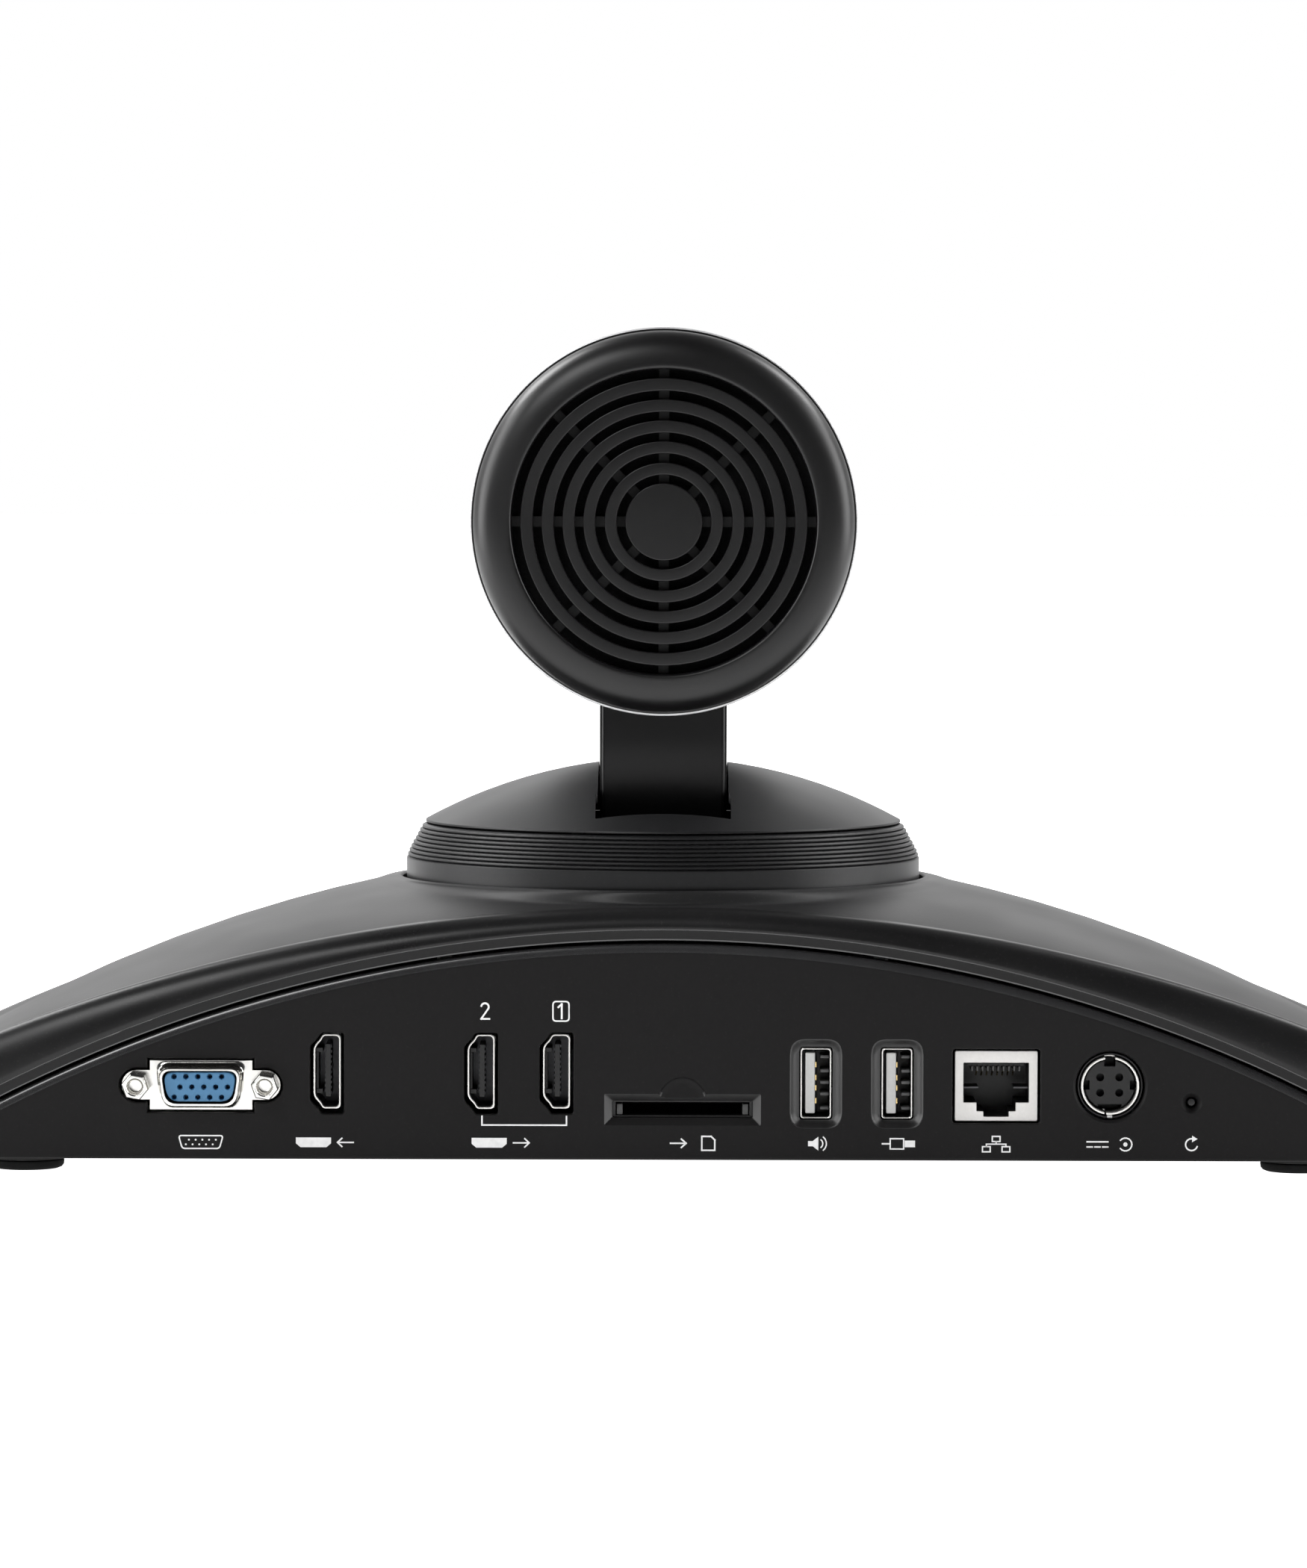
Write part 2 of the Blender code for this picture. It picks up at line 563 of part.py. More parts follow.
comb = [(LAN[0] - 5.6, LAN[1] + 4.1), (LAN[0] - 5.6, LAN[1] + 3.6)] + comb[:-1] + [(LAN[0] + 5.6, LAN[1] + 3.6),
                                                                                (LAN[0] + 5.6, LAN[1] + 4.1)]
solid("lan_jack_insert", extrude(comb, 46.4, 55.5, 'Y'), base, at=(LAN[0], 58, LAN[1]), look=(DARK, 0.4))

dc_housing = solid("dc_jack_housing", revolve([(6.35, 46.0), (6.35, 58.8), (5.95, 58.8), (5.95, 50.0), (4.85, 50.0),
                                               (4.85, 57.6), (0.35, 57.6), (0.35, 46.0)], 20, 'Y', (DC[0], 0, DC[1])),
                   base, at=(DC[0], 58, DC[1]), look=(BLACK, 0.35), smooth=30)
dc_holes = tool("dc_pin_holes", merge([cyl(0.75, 53.5, 59.0, 8, 'Y', (DC[0] + dx, 0, DC[1] + dz))
                                       for dx in (-1.85, 1.85) for dz in (-1.5, 1.5)]), base)
boolean(dc_housing, dc_holes)
solid("dc_jack_ring", revolve([(5.6, 50.4), (5.6, 59.0), (5.2, 59.0), (5.2, 50.4)], 24, 'Y', (DC[0], 0, DC[1])), base,
      at=(DC[0], 58, DC[1]), look=(STEEL, 0.25, 1.0), smooth=30)
solid("reset_button", revolve([(1.6, 52.0), (1.6, 56.6), (0.8, 56.8), (0.8, 58.7)], 12, 'Y', (RESET[0], 0, RESET[1]),
                              ring=False), base, at=(RESET[0], 58.7, RESET[1]), look=(DARK, 0.5), smooth=40)


# ---------------------------------------------------------------- gears
def gear_poly(teeth, module, phase, first=None, last=None, hub=None):
    """Outline with straight-sided teeth between the root and tip points of an involute flank."""
    rp = teeth * module / 2.0
    ra, rf = rp + 0.8 * module, rp - 1.15 * module
    rb = rp * math.cos(math.radians(20))
    inv = lambda a: math.tan(a) - a
    half = (math.pi * module / 2 - 0.42 * module) / 2 / rp
    base_a = inv(math.radians(20))
    tip = half + base_a - inv(math.acos(min(1.0, rb / ra)))
    root = half + base_a - (inv(math.acos(rb / rf)) if rf > rb else 0.0)
    pts = []
    ks = range(teeth) if first is None else range(first, last + 1)
    for k in ks:
        a = phase + 2 * math.pi * k / teeth
        for da, r in ((-root, rf), (-tip, ra), (tip, ra), (root, rf)):
            pts.append((r * math.cos(a + da), r * math.sin(a + da)))
    if hub:
        a1 = phase + 2 * math.pi * last / teeth + root
        a0 = phase + 2 * math.pi * first / teeth - root
        n = 8
        for i in range(n + 1):
            a = a1 + (a0 + 2 * math.pi - a1) * i / n
            pts.append((hub * math.cos(a), hub * math.sin(a)))
    return pts


def ring_bore(ob_name, poly, bore, lo, hi, axis, parent, centre, at, look, segs=16):
    ob = solid(ob_name, extrude(shift(poly, *centre), lo, hi, axis), parent, at=at, look=look)
    hole = tool(ob_name + "_bore", extrude(shift([(bore * math.cos(2 * math.pi * i / segs), bore * math.sin(2 * math.pi * i / segs))
                                                  for i in range(segs)], *centre), lo - 1, hi + 1, axis), parent)
    boolean(ob, hole)
    return ob


PAN_D = (PAN_TEETH + PAN_PINION_TEETH) * PAN_MODULE / 2
solid("pan_bearing", revolve([(15.4, 2.3), (15.4, 19.5), (20.0, 19.5), (22.0, 17.5), (23.5, 5.0), (24.8, 2.3)], 28), base,
      look=(STEEL, 0.3, 1.0), smooth=30)
solid("pan_motor", merge([revolve([(1.9, 19.5), (12.8, 19.5), (12.8, 2.3), (1.0, 2.3), (1.0, 8.0), (1.9, 9.0)], 20, 'Z',
                                  (0, -PAN_D, 0))]), base, at=(0, -PAN_D, 2.3), look=(STEEL, 0.4, 1.0), smooth=30)
pinion_axis = empty("pan_pinion_axis", (0, -PAN_D, 20), base)
pinion = solid("pan_pinion", extrude(shift(gear_poly(PAN_PINION_TEETH, PAN_MODULE,
                                                     math.pi / 2 + math.pi / PAN_PINION_TEETH), 0, -PAN_D), 20.6, 25.9, 'Z'),
               pinion_axis, look=((0.75, 0.7, 0.55), 0.4, 0.0))
pinion_shaft = tool("pan_pinion_shaft", cyl(1.5, 10.0, 22.0, 10, 'Z', (0, -PAN_D, 0)), pinion_axis)
boolean(pinion, pinion_shaft, 'UNION')

# ---------------------------------------------------------------- turret
solid("turret_chassis", revolve([(11.0, 6.0), (15.0, 6.0), (15.0, 26.5), (45.4, 26.5), (45.4, 43.8), (50.6, 44.0),
                                 (50.6, 46.0), (43.4, 46.0), (43.4, 28.5), (11.0, 28.5)], 32), pan_axis,
      look=(BLACK, 0.5), smooth=30)
ring_bore("pan_gear", gear_poly(PAN_TEETH, PAN_MODULE, 0.0), 15.4, 20.6, 26.2, 'Z', pan_axis, (0, 0), (0, 0, 20.6),
          ((0.75, 0.72, 0.6), 0.45), 24)

rib_r = [51.3, 51.0, 50.6, 50.2, 49.7, 49.3, 48.9, 48.4]
collar_prof = [(49.3, COLLAR_Z0), (COLLAR_R, COLLAR_Z0), (COLLAR_R, 55.6)]
for i, r in enumerate(rib_r):
    z = 55.9 + i * RIB_PITCH * 0.89
    collar_prof += [(r, z), (r, z + 0.45)]
collar_prof += [(47.9, COLLAR_Z1), (45.9, COLLAR_Z1), (47.0, 58.0)]
solid("turret_collar", revolve(collar_prof, 38), pan_axis, look=(SATIN, 0.4), smooth=20)


def dome_z(r, d=0.0):
    return DOME_APEX - DOME_R + math.sqrt((DOME_R - d) ** 2 - r * r)


dome_prof = [(47.7, 62.6)] + [(r, dome_z(r)) for r in (47.6, 44, 37, 29, 20, 10, 2.0)]
dome_prof2 = [(2.0, dome_z(2.0, 2.0))] + [(r, dome_z(r, 2.0)) for r in (12, 24, 36)] + [(43.5, 62.6)]
dome = solid("turret_dome", revolve(dome_prof + dome_prof2, 36), pan_axis, look=(SATIN, 0.4), smooth=30)
slot_poly = [(-SLOT_HALF, SLOT_Y0), (SLOT_HALF, SLOT_Y0), (SLOT_HALF, 30.0), (SLOT_HALF_WIDE, 30.5),
             (SLOT_HALF_WIDE, SLOT_Y1), (-SLOT_HALF_WIDE, SLOT_Y1), (-SLOT_HALF_WIDE, 30.5), (-SLOT_HALF, 30.0)]
boolean(dome, tool("dome_slot", extrude(slot_poly, 55, 85, 'Z'), pan_axis))

TILT_D = (TILT_TEETH + TILT_PINION_TEETH) * TILT_MODULE / 2
PIN_Y, PIN_Z = TILT_D * math.cos(TILT_PINION_DIR), TILT_Z + TILT_D * math.sin(TILT_PINION_DIR)
for name, s in (("tilt_bracket_left", 1), ("tilt_bracket_right", -1)):
    poly = [(-27, 28.8), (13, 28.8), (8, TILT_Z + 6.5), (-8, TILT_Z + 6.5), (-27, 48)]
    ob = solid(name, extrude(poly, 16.3 * s, 18.3 * s, 'X'), pan_axis, at=(17 * s, 0, TILT_Z), look=(STEEL, 0.4, 1.0))
    holes = [cyl(3.3, 15 * s, 20 * s, 16, 'X', (0, 0, TILT_Z))]
    if s > 0:
        holes.append(cyl(2.4, 15, 20, 12, 'X', (0, PIN_Y, PIN_Z)))
    boolean(ob, tool(name + "_holes", merge(holes), pan_axis))
solid("tilt_motor", revolve([(1.9, 18.6), (7.4, 18.6), (7.4, 33.5), (0.8, 33.5), (0.8, 28.0), (1.9, 27.0)], 16, 'X',
                            (0, PIN_Y, PIN_Z)), pan_axis, at=(18.6, PIN_Y, PIN_Z), look=(STEEL, 0.4, 1.0), smooth=30)
tilt_pin_axis = empty("tilt_pinion_axis", (14, PIN_Y, PIN_Z), pan_axis)
tp = solid("tilt_pinion", extrude(shift(gear_poly(TILT_PINION_TEETH, TILT_MODULE,
                                                  TILT_PINION_DIR + math.pi + math.pi / TILT_PINION_TEETH), PIN_Y, PIN_Z),
                                  13.0, 15.6, 'X'), tilt_pin_axis, look=((0.75, 0.7, 0.55), 0.4))
boolean(tp, tool("tilt_pinion_shaft", cyl(1.5, 14.0, 26.0, 10, 'X', (0, PIN_Y, PIN_Z)), tilt_pin_axis), 'UNION')

# ---------------------------------------------------------------- neck
solid("tilt_axle", cyl(3.0, -19.5, 19.5, 16, 'X', (0, 0, TILT_Z)), tilt_axis, look=(STEEL, 0.3, 1.0), smooth=40)
sector = gear_poly(TILT_TEETH, TILT_MODULE, TILT_PINION_DIR, -5, 5, hub=7.0)
ring_bore("tilt_gear", sector, 3.3, 13.0, 15.4, 'X', tilt_axis, (0, TILT_Z), (13, 0, TILT_Z),
          ((0.75, 0.72, 0.6), 0.45), 16)


def neck_rear(z):
    """Rear face of the neck, running forward as it goes down into the slot."""
    k = max(0.0, (80.0 - z) / 26.0)
    return 31.5 - 9.0 * k ** 1.8


low = [(13.0 * math.cos(math.radians(a)), TILT_Z + 13.0 * math.sin(math.radians(a))) for a in range(200, 341, 20)]
rear_pts = [(neck_rear(z) - 1.9, z) for z in (58, 62, 66, 70, 75, 80, 86)] + [(29.6, 92.0), (20.0, 92.0), (20.0, 98.8)]
front_pts = [(-20.0, 98.8), (-20.0, 92.0), (-22.0, 90.0), (-22.0, 74.0), (-20.0, 66.0), (-16.0, 58.0)]
neck = solid("neck_frame", extrude(low + rear_pts + front_pts, -NECK_HALF, NECK_HALF, 'X'), tilt_axis,
             look=(SATIN, 0.4), smooth=20)
neck_cut = tool("neck_hollow", merge([cyl(3.3, -14, 14, 16, 'X', (0, 0, TILT_Z)),
                                      extrude([(-9.0, 62.0), (9.0, 62.0), (14.0, 72.0), (14.0, 103.0), (-14.0, 103.0), (-14.0, 72.0)],
                                              -10.0, 10.0, 'X')]), tilt_axis)
boolean(neck, neck_cut)
zs = [60.5, 63, 66, 70, 75, 80, 86, 91.0]
plate = [(neck_rear(z), z) for z in zs] + [(neck_rear(z) - 1.55, z) for z in reversed(zs)]
solid("neck_rear_cover", extrude(plate, -12.1, 12.1, 'X'), tilt_axis, look=(SATIN, 0.4), smooth=20)

# ---------------------------------------------------------------- head
HC = (0, 0, HEAD_Z)


def half_shell(sign):
    outer, inner = [], []
    n = 18
    da = 0.15 / HEAD_R
    for i in range(n + 1):
        a = da + (math.pi - 2 * da) * i / n
        outer.append((HEAD_R * math.cos(a), sign * HEAD_R * math.sin(a)))
        inner.append((36.0 * math.cos(a), sign * 36.0 * math.sin(a)))
    poly = outer + inner[::-1]
    return extrude(shift(poly, 0, HEAD_Z), -40.0, 33.5, 'Y')


solid("head_upper_shell", half_shell(1), tilt_axis, look=(SATIN, 0.38), smooth=30)
lower = solid("head_lower_shell", half_shell(-1), tilt_axis, look=(SATIN, 0.38), smooth=30)
boolean(lower, tool("neck_opening", block(-12.8, 12.8, -22.3, 31.9, 80, 100), tilt_axis))
solid("head_trim_ring", revolve([(38.3, 33.8), (38.3, 35.2), (37.9, 36.2), (36.0, 36.2), (36.0, 33.8)], 34, 'Y', HC), tilt_axis,
      look=((0.7, 0.7, 0.71), 0.25, 1.0), smooth=30)

cover_prof = [(35.0, 36.5), (COVER_R, 36.5), (37.2, 38.0), (36.2, 39.8), (34.4, 41.1), (32.2, 41.8), (29.8, 42.0),
              (29.8, 38.0), (33.4, 38.0)]
rear_cover = solid("head_rear_cover", revolve(cover_prof, 34, 'Y', HC), tilt_axis, look=(SATIN, 0.42), smooth=30)
rings = [cyl(7.54, 39.6, 41.6, 20, 'Y', HC)]
for r0, r1 in ((9.22, 11.57), (13.4, 15.75), (17.43, 19.83), (21.5, 23.9), (25.6, 28.05)):
    rings.append(revolve([(r1, 39.6), (r1, 41.6), (r0, 41.6), (r0, 39.6)], 22, 'Y', HC))
boolean(rear_cover, tool("grille_rings", merge(rings), tilt_axis), 'UNION')
for k in range(4):
    a = math.radians(45 * k)
    u, v = Vector((math.cos(a), math.sin(a))), Vector((-math.sin(a), math.cos(a)))
    poly = [tuple(u * s * 30.8 + v * t * 1.05) for s, t in ((-1, -1), (1, -1), (1, 1), (-1, 1))]
    boolean(rear_cover, tool("grille_spoke_%d" % k, extrude(shift(poly, 0, HEAD_Z), 38.4 + 0.02 * k, 39.9 + 0.02 * k, 'Y'),
                             tilt_axis), 'UNION')
solid("vent_screen", cyl(32.8, 36.8, 37.6, 32, 'Y', HC), tilt_axis, look=((0.006, 0.006, 0.006), 0.9))

solid("front_bezel", revolve([(HEAD_R, -40.3), (HEAD_R, -42.0), (37.0, -44.0), (34.5, -45.0), (29.0, -44.2), (26.0, -42.0),
                              (26.0, -40.3)], 32, 'Y', HC), tilt_axis, look=((0.01, 0.01, 0.012), 0.15), smooth=30)
solid("lens_barrel", revolve([(24.3, -3.0), (24.3, -36.0), (25.6, -36.5), (25.6, -42.5), (23.6, -43.0), (22.4, -40.5), (20.5, -39.5),
                              (20.5, -3.0)], 26, 'Y', HC), tilt_axis, look=((0.01, 0.01, 0.011), 0.3), smooth=30)
solid("front_lens", revolve([(3.0, -38.0), (12.0, -37.3), (20.2, -36.0), (20.2, -38.6), (16.5, -39.9), (10.0, -41.2), (3.0, -41.7)],
                            24, 'Y', HC, ring=False), tilt_axis, look=((0.02, 0.03, 0.05), 0.03), smooth=40)
solid("zoom_group", revolve([(2.0, -19.4), (13.0, -20.5), (15.0, -18.0), (19.8, -18.0), (19.8, -26.0), (15.0, -26.0), (13.0, -24.0),
                             (2.0, -25.0)], 18, 'Y', HC, ring=False), tilt_axis, look=((0.02, 0.02, 0.02), 0.3), smooth=30)
solid("sensor_board", extrude(shift(rounded(rect(44, 44), 6, 2), 0, HEAD_Z), -2.6, -1.0, 'Y'), tilt_axis, look=(GREEN, 0.5))
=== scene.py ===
import math

import bmesh
import bpy
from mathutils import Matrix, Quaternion, Vector


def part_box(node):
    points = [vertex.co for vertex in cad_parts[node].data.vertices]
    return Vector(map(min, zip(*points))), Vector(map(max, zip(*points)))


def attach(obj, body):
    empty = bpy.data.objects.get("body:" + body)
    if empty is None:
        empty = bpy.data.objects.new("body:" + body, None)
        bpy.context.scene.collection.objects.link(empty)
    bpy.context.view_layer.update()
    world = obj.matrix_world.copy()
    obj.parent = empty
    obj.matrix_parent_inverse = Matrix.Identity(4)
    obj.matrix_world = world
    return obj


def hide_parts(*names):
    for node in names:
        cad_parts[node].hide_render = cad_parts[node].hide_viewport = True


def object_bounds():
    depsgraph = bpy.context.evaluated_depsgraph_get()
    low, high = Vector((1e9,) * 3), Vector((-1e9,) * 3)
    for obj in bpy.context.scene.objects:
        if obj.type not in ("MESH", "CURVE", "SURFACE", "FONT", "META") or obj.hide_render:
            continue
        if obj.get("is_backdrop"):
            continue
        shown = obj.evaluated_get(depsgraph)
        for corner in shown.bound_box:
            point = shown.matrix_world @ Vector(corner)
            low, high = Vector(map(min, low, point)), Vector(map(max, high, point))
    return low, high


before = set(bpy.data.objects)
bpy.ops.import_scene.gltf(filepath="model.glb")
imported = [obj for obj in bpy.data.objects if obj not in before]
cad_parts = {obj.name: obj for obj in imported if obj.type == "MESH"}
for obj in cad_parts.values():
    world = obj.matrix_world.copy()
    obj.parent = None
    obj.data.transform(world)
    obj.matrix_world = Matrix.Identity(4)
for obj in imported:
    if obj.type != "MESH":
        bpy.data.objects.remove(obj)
cad_lo, cad_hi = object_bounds()

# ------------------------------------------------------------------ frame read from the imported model
MM = 0.001
_c0, _c1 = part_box("turret_collar")
PAN_Y = (_c0.y + _c1.y) / 2 / MM            # pan axis in the row frame (mm)
FOOT = -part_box("foot_rear_left")[0].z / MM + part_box("rear_panel")[0].z / MM   # base edge above the floor (mm)

HALF_L, LIP_Y, FRONT_Y = 172.0, 60.6, -84.0
REAR_Y = 60.0
CREASE_REAR_Y, CREASE_FRONT_Y = 55.0, -70.0
ARC_C, R_PANEL, R_GAP, R_LIP = -240.6, 282.8, 283.3, 285.6
PANEL_HALF = 137.6
CREASE_R, CREASE_C = 342.0, -292.9
RIDGE_R, RIDGE_C = 285.0, -228.3
HOLE_R, RIM_Z = 52.3, 51.9
TILT_Z, HEAD_Z = 55.0, 123.3
VGA = (89.3, 14.4)
HDMI_IN, HDMI_OUT2, HDMI_OUT1 = (64.9, 17.1), (35.1, 17.1), (20.5, 17.2)
SD = (-3.9, 9.9)
USB1, USB2 = (-29.7, 15.0), (-45.4, 15.0)
LAN = (-64.6, 14.6)
DC = (-86.65, 14.7)
RESET = (-102.4, 11.5)


# ------------------------------------------------------------------ materials
class Nodes:
    def __init__(self, name):
        self.mat = bpy.data.materials.new(name)
        self.mat.use_nodes = True
        self.t = self.mat.node_tree
        self.bsdf = self.t.nodes["Principled BSDF"]

    def add(self, kind, **inputs):
        n = self.t.nodes.new(kind)
        for k, v in inputs.items():
            n.inputs[k.replace("_", " ")].default_value = v
        return n

    def link(self, a, b):
        self.t.links.new(a, b)

    def coords(self, scale=1.0):
        tc = self.t.nodes.new("ShaderNodeTexCoord")
        mp = self.t.nodes.new("ShaderNodeMapping")
        mp.inputs["Scale"].default_value = (scale, scale, scale) if not isinstance(scale, tuple) else scale
        self.link(tc.outputs["Object"], mp.inputs["Vector"])
        return mp.outputs["Vector"]

    def ramp(self, fac, stops):
        r = self.t.nodes.new("ShaderNodeValToRGB")
        el = r.color_ramp.elements
        while len(el) > 1:
            el.remove(el[0])
        el[0].position, el[0].color = stops[0][0], (*stops[0][1], 1)
        for p, c in stops[1:]:
            e = el.new(p)
            e.color = (*c, 1)
        self.link(fac, r.inputs["Fac"])
        return r


def lin(v):
    v /= 255.0
    return v / 12.92 if v <= 0.04045 else ((v + 0.055) / 1.055) ** 2.4


def rgb(r, g, b):
    return (lin(r), lin(g), lin(b))


def mould(name, color, rough, grain=1600.0, bump=0.05, spread=0.12, metal=0.0, rough_var=0.05, spec=0.5, coat=0.0,
          speck=0.0, depth=0.00004):
    """Moulded or painted plastic: fine grain in colour, roughness and relief."""
    m = Nodes(name)
    b = m.bsdf
    b.inputs["Metallic"].default_value = metal
    b.inputs["Specular IOR Level"].default_value = spec
    b.inputs["Coat Weight"].default_value = coat
    v = m.coords(1.0)
    fine = m.add("ShaderNodeTexNoise", Scale=grain, Detail=3.0, Roughness=0.6)
    m.link(v, fine.inputs["Vector"])
    broad = m.add("ShaderNodeTexNoise", Scale=28.0, Detail=2.0, Roughness=0.5)
    m.link(v, broad.inputs["Vector"])
    lo = tuple(c * (1 - spread) for c in color)
    hi = tuple(c * (1 + spread) for c in color)
    r1 = m.ramp(fine.outputs["Fac"], [(0.3, lo), (0.7, hi)])
    if speck > 0:
        sp = m.add("ShaderNodeTexNoise", Scale=grain * 1.6, Detail=1.0, Roughness=0.4)
        m.link(v, sp.inputs["Vector"])
        r2 = m.ramp(sp.outputs["Fac"], [(0.66, (0, 0, 0)), (0.74, (speck, speck, speck))])
        mix = m.t.nodes.new("ShaderNodeMix")
        mix.data_type = 'RGBA'
        mix.blend_type = 'ADD'
        mix.inputs["Factor"].default_value = 1.0
        m.link(r1.outputs["Color"], mix.inputs["A"])
        m.link(r2.outputs["Color"], mix.inputs["B"])
        m.link(mix.outputs["Result"], b.inputs["Base Color"])
    else:
        m.link(r1.outputs["Color"], b.inputs["Base Color"])
    mr = m.t.nodes.new("ShaderNodeMapRange")
    mr.inputs["From Min"].default_value = 0.3
    mr.inputs["From Max"].default_value = 0.7
    mr.inputs["To Min"].default_value = max(0.02, rough - rough_var)
    mr.inputs["To Max"].default_value = min(1.0, rough + rough_var)
    m.link(broad.outputs["Fac"], mr.inputs["Value"])
    m.link(mr.outputs["Result"], b.inputs["Roughness"])
    bp = m.t.nodes.new("ShaderNodeBump")
    bp.inputs["Strength"].default_value = bump
    bp.inputs["Distance"].default_value = depth
    m.link(fine.outputs["Fac"], bp.inputs["Height"])
    m.link(bp.outputs["Normal"], b.inputs["Normal"])
    return m.mat


def metal(name, color, rough, streak=(60.0, 60.0, 2400.0), bump=0.04, spread=0.06):
    """Plated or brushed metal with fine streaks and small tarnish."""
    m = Nodes(name)
    b = m.bsdf
    b.inputs["Metallic"].default_value = 1.0
    v = m.coords(streak)
    n1 = m.add("ShaderNodeTexNoise", Scale=1.0, Detail=3.0, Roughness=0.6)
    m.link(v, n1.inputs["Vector"])
    v2 = m.coords(1.0)
    n2 = m.add("ShaderNodeTexNoise", Scale=420.0, Detail=3.0, Roughness=0.6)
    m.link(v2, n2.inputs["Vector"])
    lo = tuple(c * (1 - spread) for c in color)
    r1 = m.ramp(n2.outputs["Fac"], [(0.35, lo), (0.65, color)])
    m.link(r1.outputs["Color"], b.inputs["Base Color"])
    mr = m.t.nodes.new("ShaderNodeMapRange")
    mr.inputs["To Min"].default_value = max(0.03, rough * 0.75)
    mr.inputs["To Max"].default_value = rough * 1.3
    m.link(n1.outputs["Fac"], mr.inputs["Value"])
    m.link(mr.outputs["Result"], b.inputs["Roughness"])
    bp = m.t.nodes.new("ShaderNodeBump")
    bp.inputs["Strength"].default_value = bump
    bp.inputs["Distance"].default_value = 0.00003
    m.link(n1.outputs["Fac"], bp.inputs["Height"])
    m.link(bp.outputs["Normal"], b.inputs["Normal"])
    return m.mat


def soften(mat, amount):
    mat.node_tree.nodes["Principled BSDF"].inputs["Metallic"].default_value = amount
    return mat


def board_mat(name):
    m = Nodes(name)
    b = m.bsdf
    v = m.coords(1.0)
    w = m.add("ShaderNodeTexBrick", Scale=220.0)
    w.inputs["Color1"].default_value = (0.008, 0.055, 0.03, 1)
    w.inputs["Color2"].default_value = (0.012, 0.075, 0.04, 1)
    w.inputs["Mortar"].default_value = (0.02, 0.11, 0.06, 1)
    w.inputs["Mortar Size"].default_value = 0.06
    m.link(v, w.inputs["Vector"])
    m.link(w.outputs["Color"], b.inputs["Base Color"])
    b.inputs["Roughness"].default_value = 0.35
    return m.mat


def glass_mat(name):
    """Coated front element: nearly black from outside, with a violet-green sheen."""
    m = Nodes(name)
    b = m.bsdf
    lw = m.add("ShaderNodeLayerWeight", Blend=0.35)
    r = m.ramp(lw.outputs["Facing"], [(0.0, (0.010, 0.012, 0.026)), (0.45, (0.016, 0.010, 0.034)), (1.0, (0.03, 0.05, 0.04))])
    m.link(r.outputs["Color"], b.inputs["Base Color"])
    b.inputs["Roughness"].default_value = 0.03
    b.inputs["Coat Weight"].default_value = 1.0
    b.inputs["Coat Roughness"].default_value = 0.02
    b.inputs["Transmission Weight"].default_value = 0.55
    b.inputs["IOR"].default_value = 1.6
    return m.mat


def ink_mat(name):
    m = Nodes(name)
    b = m.bsdf
    n = m.add("ShaderNodeTexNoise", Scale=900.0, Detail=2.0, Roughness=0.5)
    m.link(m.coords(1.0), n.inputs["Vector"])
    r = m.ramp(n.outputs["Fac"], [(0.3, (0.82, 0.82, 0.82)), (0.7, (0.93, 0.93, 0.93))])
    m.link(r.outputs["Color"], b.inputs["Base Color"])
    b.inputs["Roughness"].default_value = 0.6
    return m.mat


M_TOP = mould("top_matte", (0.0090, 0.0088, 0.0094), 0.42, grain=1500, bump=0.25, spread=0.10, speck=0.010, spec=0.4)
M_BAND = mould("band_satin", (0.0078, 0.0076, 0.0080), 0.32, grain=1500, bump=0.20, spread=0.10, speck=0.008, spec=0.35)
M_LIP = mould("lip_satin", (0.0060, 0.0059, 0.0062), 0.38, grain=1500, bump=0.12, spread=0.08, spec=0.25)
M_PANEL = mould("panel_matte", (0.0048, 0.0044, 0.0047), 0.52, grain=1300, bump=0.25, spread=0.12, speck=0.003, spec=0.2)
M_TURRET = mould("turret_satin", (0.0090, 0.0090, 0.0098), 0.40, grain=1500, bump=0.18, spread=0.10, speck=0.004, spec=0.3)
M_HEAD = mould("head_satin", (0.0052, 0.0050, 0.0054), 0.33, grain=1500, bump=0.18, spread=0.10, speck=0.003, spec=0.5)
M_GRILLE = mould("grille_satin", (0.0056, 0.0054, 0.0058), 0.33, grain=1500, bump=0.15, spread=0.08, spec=0.45)
M_GLOSS = mould("gloss_black", (0.004, 0.004, 0.0044), 0.16, grain=900, bump=0.01, spread=0.05, rough_var=0.03, coat=0.15, spec=0.25)
M_IR = mould("ir_window_red", (0.022, 0.0025, 0.004), 0.08, grain=900, bump=0.01, spread=0.05, rough_var=0.02, coat=0.3, spec=0.4)
M_LED = mould("status_light", (0.35, 0.75, 0.42), 0.2, grain=900, bump=0.02, spread=0.05, rough_var=0.03, coat=0.5)
M_RUBBER = mould("foot_rubber", (0.008, 0.008, 0.008), 0.75, grain=1100, bump=0.5, spread=0.2, spec=0.3)
M_BLACK = mould("black_moulded", (0.0075, 0.0075, 0.008), 0.42, grain=1600, bump=0.12, spread=0.12)
# black screen behind the grille, darker than the black plastic: partly its own colour, partly painted shade for the
# deep gaps
M_VENT_SHADE = mould("vent_screen_painted_shade", (0.0025, 0.0025, 0.0028), 0.85, grain=2600, bump=0.8, spread=0.4, spec=0.15)
M_BLUE = mould("blue_moulded", rgb(73, 124, 164), 0.42, grain=1700, bump=0.12, spread=0.05)
M_WHITE = mould("white_moulded", (0.62, 0.62, 0.61), 0.40, grain=1700, bump=0.08, spread=0.04)
M_GREY = mould("grey_moulded", (0.09, 0.09, 0.09), 0.45, grain=1700, bump=0.08, spread=0.06)
M_NYLON = mould("gear_nylon", (0.62, 0.60, 0.50), 0.45, grain=900, bump=0.08, spread=0.05)
M_NICKEL = metal("nickel_plate", (0.86, 0.85, 0.82), 0.22)
soften(M_NICKEL, 0.70)
M_LANFACE = mould("tin_plate", (0.80, 0.785, 0.765), 0.42, grain=1700, bump=0.05, spread=0.03, metal=0.25)
